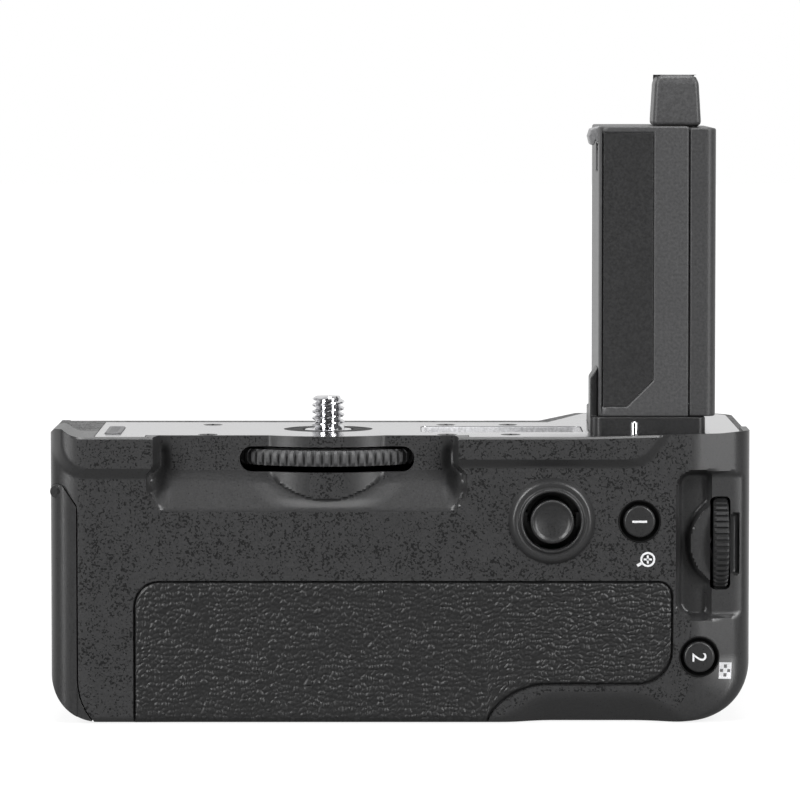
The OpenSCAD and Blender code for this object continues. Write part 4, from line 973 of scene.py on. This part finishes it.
def joystick_ring():
    """Round mound with a collar: a ridge, a shallow valley and a crest round the hole."""
    outer, low, high = rearward("joystick_ring")
    hole, sunk = MOUND[-1][0], low - 0.6
    profile = [(hole, sunk), (STICK_HOLE_R, sunk), (STICK_HOLE_R, low), (outer, low)]
    profile += [(r * outer / MOUND[0][0], low + h * ((high - low) / MOUND_RISE)) for r, h in MOUND]
    finish(turned(profile, STICK_SPOT, "Y", 144), "joystick_ring", SMOOTH_COVER, 50)


def joystick_cap():
    """Concave thumb pad with a raised round rim."""
    r, low, high = rearward("joystick_cap")
    hollow = [(r * 0.8 * (1 - t), high - 0.28 - 0.6 * math.sin(t * math.pi / 2))
              for t in np.linspace(0, 1, 9)]
    profile = [(0, low), (r - 0.7, low), (r - 0.2, low + 0.4), (r, low + 1.2)]
    profile += quarter_round(r, high, 0.35, math.pi * 0.75, 8) + hollow
    finish(turned(profile, STICK_SPOT, "Y"), "joystick_cap", CONTROL)


def button_rings():
    """Sunken wells round the two buttons, each with a fine raised lip, in black plastic darkened further as
    painted shade.
    """
    def bezel(spot, outer, inner):
        low, high = BEZEL_FOOT, -REAR
        profile = [(inner, low), (outer, low), (outer, high), (outer - 0.12, high + 0.1),
                   (outer - 0.26, high + 0.06), (outer - 0.38, high - 0.3), (inner + 0.1, high - 0.75),
                   (inner, high - 0.8)]
        return turned(profile, (spot[0], 0, spot[1]), "Y")
    rings = join([bezel(AF_SPOT, AF_HOLE_R - 0.02, 3.1), bezel(AEL_SPOT, AEL_HOLE_R - 0.02, 3.0)])
    finish(rings, "button_rings", SHADE_BLACK)


def rear_button(node, spot, radius):
    """Button with a softly crowned top and a round shoulder, flanged behind its well."""
    flange, low, high = rearward(node)
    crown = [(radius * 0.8 * (1 - t), high - 0.17 * (1 - t) ** 2) for t in np.linspace(0, 1, 8)]
    profile = [(0, low), (flange, low), (flange, BEZEL_FOOT - 0.3), (radius, BEZEL_FOOT - 0.25)]
    profile += quarter_round(radius, high - 0.17, 0.45, math.pi / 2 - 0.2, 7) + crown
    finish(turned(profile, (spot[0], 0, spot[1]), "Y"), node, CONTROL)


def rear_dial():
    """Thumb dial with square ridges and smooth chamfered sides."""
    low, high = size_of("rear_dial")
    r, half = (high.y - low.y) / 2, (high.x - low.x) / 2
    profile = rim_profile(AXLE_HOLE_R, r, -half, half, [(1.5, 0), (0.5, 0.12), (0, 0.5)])
    dial = turned(profile, DIAL_AXIS, "X", REAR_RIDGES * 10, ribs(r, REAR_RIDGES, 0.6, 0.55))
    finish(dial, "rear_dial", DIAL_BLACK)


def front_dial():
    low, high = size_of("front_dial")
    r, half = (high.x - low.x) / 2, (high.z - low.z) / 2
    profile = rim_profile(AXLE_HOLE_R, r, -half, half, [(1.4, 0), (0.45, 0.1), (0, 0.5)])
    dial = turned(profile, JOINT["front_dial_turn"], "Z", FRONT_RIDGES * 8, ribs(r, FRONT_RIDGES, 0.55))
    finish(dial, "front_dial", DIAL_BLACK)


def side_button(node):
    low, high = size_of(node)
    foot, top, flange, r = low.x, high.x, (high.y - low.y) / 2, SIDE_BUTTON_R
    spot = (0, (low.y + high.y) / 2, (low.z + high.z) / 2)
    profile = [(0, foot), (flange, foot), (flange, foot + 0.9), (r, foot + 0.95)]
    profile += quarter_round(r, top, 0.35, 1.57, 6)
    profile += [(r * 0.7, top - 0.05), (r * 0.35, top - 0.14), (0, top - 0.17)]
    finish(turned(profile, spot, "X", 72), node, CONTROL)


joystick_ring()
joystick_cap()
button_rings()
rear_button("af_button", AF_SPOT, 3.0)
rear_button("ael_button", AEL_SPOT, 2.9)
rear_dial()
front_dial()
side_button("c1_button")
side_button("c2_button")
eased("shutter_collar", CONTROL, 0.15)
eased("shutter_button", CHROME, 0.12)
eased("power_ring", CONTROL, 0.18)


# Tower: the hollow post that fills the camera's battery chamber

TOWER_PARTS = (
    ("tower_base", TOWER_DARK, 0.25, 2),
    ("tower_shell", TOWER, 0.4, 3),
    ("tower_panel", TOWER_PANEL, 0.12, 2),
    ("tower_side_cover", TOWER_SIDE, 0.4, 3),
    ("tower_clip", PALE, 0.2, 2),
    ("tower_head", TOWER, 0.9, 4),
)
for tower_part in TOWER_PARTS:
    eased(*tower_part, clamp=False)


# Leatherette: the rear panel with its pebbles in the mesh, and the panel on the hand grip

PEBBLE = (1.15, 1.0)
WRINKLE = (0.95, 0.9)
PEBBLE_RISE = 0.38
PEBBLE_SEED, WRINKLE_SEED = 3, 8
FIELD = (190, 60)
FIELD_START = (80, 12)
SKIN_BACK = size_of("rear_grip_skin")[1].y


def pebbles(x, z, size, seed):
    """Height from 0 in a crease to 1 on top of a pebble, over cells of the given size."""
    rng = np.random.default_rng(seed)
    columns, rows = int(FIELD[0] / size[0]), int(FIELD[1] / size[1])
    jitter = rng.random((columns, rows, 3))
    u, v = (x + FIELD_START[0]) / size[0], (z + FIELD_START[1]) / size[1]
    near = np.full((2, len(x)), 9.0)
    crown = np.zeros(len(x))
    for i in (-1, 0, 1):
        for j in (-1, 0, 1):
            column, row = np.floor(u).astype(int) + i, np.floor(v).astype(int) + j
            spot = jitter[np.clip(column, 0, columns - 1), np.clip(row, 0, rows - 1)]
            gap = np.hypot(u - column - 0.08 - 0.84 * spot[:, 0], v - row - 0.08 - 0.84 * spot[:, 1])
            closer = gap < near[0]
            near[1] = np.where(closer, near[0], np.minimum(near[1], gap))
            crown = np.where(closer, spot[:, 2], crown)
            near[0] = np.where(closer, gap, near[0])
    return ease((near[1] - near[0]) / 0.42) * (0.45 + 0.55 * crown)


def leather_height(x, z):
    """Irregular pebbles, bent by slow waves and broken by finer wrinkles."""
    u = x + 0.2 * np.sin(z * 1.3 + 0.7 * x) + 0.16 * np.sin(x * 0.61 - z * 0.9)
    v = z + 0.2 * np.sin(x * 1.1 - 0.5 * z) + 0.16 * np.sin(z * 0.73 + x * 0.47)
    return 0.72 * pebbles(u, v, PEBBLE, PEBBLE_SEED) + 0.28 * pebbles(v + u, v - u, WRINKLE, WRINKLE_SEED)


def distance_to(outline, x, z):
    """Least distance of each point to a closed outline."""
    corners = np.array(outline)
    least = np.full(len(x), 99.0)
    for start, end in zip(corners, np.roll(corners, -1, axis=0)):
        way = end - start
        t = unit(((x - start[0]) * way[0] + (z - start[1]) * way[1]) / max(way @ way, 1e-9))
        least = np.minimum(least, np.hypot(x - start[0] - t * way[0], z - start[1] - t * way[1]))
    return least


def rear_grip_skin():
    """Leatherette panel with rolled edges; its lower edge tucks under at the floor."""
    outline = skin_outline(0)
    x0, x1 = SKIN[:2]
    floor, below = -0.5, -30
    edge = np.array([point for point in outline if point[1] > floor])
    upper = edge[np.argsort(edge[:, 0])]
    upper = upper[upper[:, 1] > 21.5]
    sweep = [(x, z) for x, z in outline if x > SKIN_BEND[0] - 1 and floor < z < 15]
    lower = np.array([(x0, 0.0)] + sweep)
    skin = sheet_of(440, 124)
    grid = points_of(skin) + (0.5, 0.5, 0)
    x = x0 + (x1 - x0) * grid[:, 0]
    low = np.interp(x, lower[:, 0], lower[:, 1]) + 0.02
    z = low + (np.interp(x, upper[:, 0], upper[:, 1]) - low) * grid[:, 1]
    rolled = [(px, max(pz, below)) for px, pz in outline if pz > floor or px > 0]
    margin = distance_to(rolled + [(x0, below)], x, z)
    height = leather_height(x, z)
    roll = np.maximum(turned_edge(margin, 0.75, 0.5), turned_edge(z, *FOOT_EDGE))
    y = REAR + 0.03 + PEBBLE_RISE * (1 - height * np.clip(margin / 0.6, 0.25, 1)) + roll
    set_points(skin, np.column_stack([x, np.minimum(y, SKIN_BACK - 0.05), z]))
    # The relief also goes to the material, which paints shade in the creases and a highlight on the pebble
    # tops.
    relief = skin.data.attributes.new("relief", "FLOAT", "POINT")
    relief.data.foreach_set("value", height)
    carry_back(skin, SKIN_BACK)
    mesh.edge_face_add()
    done()
    outward(skin)
    finish(skin, "rear_grip_skin", REAR_LEATHER, 75)


rear_grip_skin()
eased("front_grip_skin", LEATHER, 0.25)


# White marks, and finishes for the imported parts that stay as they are

MARK_T = 0.05
LENS_SPOT, LENS_R, LENS_HOLE_R = (46.88, 31.15), 1.42, 1.04
PLUS_ARM, PLUS_HALF = 0.78, 0.18
HANDLE_ANGLE, HANDLE_HALF, HANDLE_ENDS = 211, 0.27, (1.36, 2.35)
INDEX_SPOT, INDEX_SIZE, INDEX_TURN = (61.75, 9.75), (2.4, 3.1), -3
INDEX_HOLES = ((0, 0.86), (0, -0.86), (0.68, 0), (-0.68, 0))
INDEX_HOLE_HALF = (0.3, 0.33)
FINISH_OF = {
    BLACK_STEEL: ("tower_screws",),
    STEEL: ("tripod_socket", "screw_clip", "eject_leaves", "door_hinge_pin", "rear_dial_axle",
            "front_dial_axle"),
    BASE: ("battery_chamber", "rear_dial_bracket", "front_dial_bracket"),
    GOLD: ("chamber_contacts", "tower_contacts"),
    CATCH: ("battery_lock_rear", "battery_lock_front"),
    RUBBER: ("door_seal",),
    BOARD: ("main_board",),
    LEAD: ("flex_lead",),
    CONTROL: ("switches", "joystick_base"),
    # Painted shade: the joystick's inner parts are made near-black so the gap round its cap reads as deep
    # shade.
    SHADE_BLACK: ("joystick_gimbal", "joystick_stick"),
}


def mark(piece, body, name):
    """Printed mark: thin, and carried by the part it is printed on."""
    dress(piece, name, MARK, body, 30)


def magnifier():
    """Lens ring with a plus sign and a handle."""
    x, z = LENS_SPOT
    low, high = REAR - MARK_T, REAR + 0.02
    lens = disc(LENS_SPOT, LENS_R, low, high, 48)
    cut(lens, disc(LENS_SPOT, LENS_HOLE_R, low - 1, high + 1, 48))
    arms = [block((x - a, low, z - b), (x + a, high, z + b))
            for a, b in ((PLUS_ARM, PLUS_HALF), (PLUS_HALF, PLUS_ARM))]
    angle = math.radians(HANDLE_ANGLE)
    way = Vector((math.cos(angle), math.sin(angle)))
    side = Vector((-way.y, way.x)) * HANDLE_HALF
    start, end = (Vector(LENS_SPOT) + way * reach for reach in HANDLE_ENDS)
    handle = prism([tuple(p) for p in (start - side, end - side, end + side, start + side)], low, high, "Y")
    mark(join([lens] + arms + [handle]), "root", "magnifier_mark")


def index_mark():
    """Small plate of four squares set as a diamond, printed on the round of the dial end."""
    turn = math.radians(INDEX_TURN)
    sheet = sheet_of(24, 32)
    u, v = (points_of(sheet)[:, :2] * INDEX_SIZE).T
    x = INDEX_SPOT[0] + u * math.cos(turn) - v * math.sin(turn)
    z = INDEX_SPOT[1] + u * math.sin(turn) + v * math.cos(turn)
    set_points(sheet, np.column_stack([x, rear_face(x, z) - MARK_T, z]))
    hollow = []
    for face in sheet.data.polygons:
        middle = np.mean([(u[i], v[i]) for i in face.vertices], axis=0)
        hollow.append(any((np.abs(middle - hole) < INDEX_HOLE_HALF).all() for hole in INDEX_HOLES))
    edit(sheet)
    mesh.select_all(action="DESELECT")
    done()
    sheet.data.polygons.foreach_set("select", hollow)
    edit(sheet)
    mesh.select_mode(type="FACE")
    mesh.delete(type="FACE")
    mesh.select_all(action="SELECT")
    mesh.extrude_region_move(TRANSFORM_OT_translate={"value": (0, MARK_T + 0.03, 0)})
    done()
    mark(outward(sheet), "root", "index_mark")


def button_number(text, node, spot, height):
    """Plain number on a button, turned to read with the grip upright."""
    label = fresh(bpy.ops.object.text_add)
    label.data.body = text
    label.data.size, label.data.extrude = height * 1.42, 0.12
    bpy.ops.object.convert(target="MESH")
    points = points_of(label)
    points[:, :2] -= (points[:, :2].max(axis=0) + points[:, :2].min(axis=0)) / 2
    across, up, out = points.T
    front = size_of(node)[0].y
    set_points(label, np.column_stack([spot[0] + up, front + 0.1 - out, spot[1] - across]))
    edit_all(label)
    mesh.remove_doubles(threshold=MERGE)
    done()
    mark(outward(label), frame["nodes"][node]["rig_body"], node + "_number")


magnifier()
index_mark()
button_number("1", "af_button", AF_SPOT, 2.9)
button_number("2", "ael_button", AEL_SPOT, 2.7)
for inner_finish, inner_parts in FINISH_OF.items():
    for inner_part in inner_parts:
        for place in frame["nodes"][inner_part].material_slots:
            place.material = inner_finish


# Stage: pale floor, soft studio light and the camera

WHITE = (1, 1, 1, 1)
FLOOR_GREY = (0.2, 0.2, 0.2, 1)
LIT_SPOT = (0, 0, 0.04)
LAMPS = (
    ("overhead", (0, 0.0, 1.3), (0.7, 0.4), 8),
    ("key_left", (-0.85, -0.85, 0.9), (0.45, 0.45), 11),
    ("key_right", (0.85, -0.85, 0.9), (0.45, 0.45), 11),
    ("side_left", (-0.95, -0.95, 0.25), (0.3, 0.5), 6),
    ("side_right", (0.95, -0.95, 0.25), (0.3, 0.5), 6),
)
LENS_MM, SENSOR_MM = 238.3, 36
EYE = (0, -1.0225, 0.1264)
EYE_TARGET = (-0.0001, -0.0225, 0.06145)


def studio_world():
    """White to the camera; as a light, dim on the camera's side and bright beyond the object."""
    world = bpy.data.worlds.new("studio")
    bpy.context.scene.world = world
    look = Look(world)
    away = look.add("SeparateXYZ", {0: look.coords["Generated"]}).outputs["Y"]
    light = look.nodes["Background"]
    look.fill(light.inputs["Color"], WHITE)
    look.fill(light.inputs["Strength"], look.spread(away, -0.5, 0.5, 0.05, 0.8))
    white = look.add("Background", {"Color": WHITE})
    path = look.add("LightPath").outputs
    seen = look.maths("MAXIMUM", path["Is Camera Ray"], path["Is Transmission Ray"])
    mix = look.add("MixShader", {0: seen, 1: light.outputs[0], 2: white.outputs[0]})
    look.fill(look.nodes["World Output"].inputs["Surface"], mix.outputs[0])


def pale_floor():
    """Floor that throws little light back, but looks pale to the camera and in mirrors beyond the object."""
    floor = fresh(mesh.primitive_plane_add, size=6, location=(0, 1.2, -0.0002))
    floor.name = "floor"
    look = new_look("pale_floor")
    path = look.add("LightPath").outputs
    away = look.add("SeparateXYZ", {0: look.coords["Object"]}).outputs["Y"]
    mirrored = look.maths("MULTIPLY", path["Is Glossy Ray"], look.spread(away, -1.25, -1.1))
    seen = look.maths("MAXIMUM", path["Is Camera Ray"], mirrored)
    strength = look.maths("MULTIPLY", seen, look.spread(away, -1.15, 0.2, 0.84, 1.0))
    paint = look.add("BsdfDiffuse", {"Color": FLOOR_GREY})
    glow = look.add("Emission", {"Color": WHITE, "Strength": strength})
    both = look.add("AddShader", {0: paint.outputs[0], 1: glow.outputs[0]})
    look.nodes.remove(look.nodes["Principled BSDF"])
    look.fill(look.nodes["Material Output"].inputs["Surface"], both.outputs[0])
    floor.data.materials.append(look.owner)


def aimed(name, data, place, target):
    thing = bpy.data.objects.new(name, data)
    bpy.context.scene.collection.objects.link(thing)
    thing.location = place
    thing.rotation_euler = (Vector(target) - Vector(place)).to_track_quat("-Z", "Y").to_euler()
    return thing


def soft_light(name, place, size, power):
    data = bpy.data.lights.new(name, "AREA")
    data.shape = "RECTANGLE"
    data.size, data.size_y = size
    data.energy = power
    aimed(name, data, place, LIT_SPOT)


def camera():
    data = bpy.data.cameras.new("camera")
    data.sensor_width, data.lens = SENSOR_MM, LENS_MM
    bpy.context.scene.camera = aimed("camera", data, EYE, EYE_TARGET)


studio_world()
pale_floor()
for lamp in LAMPS:
    soft_light(*lamp)
camera()
bpy.context.scene.view_settings.view_transform = "Standard"
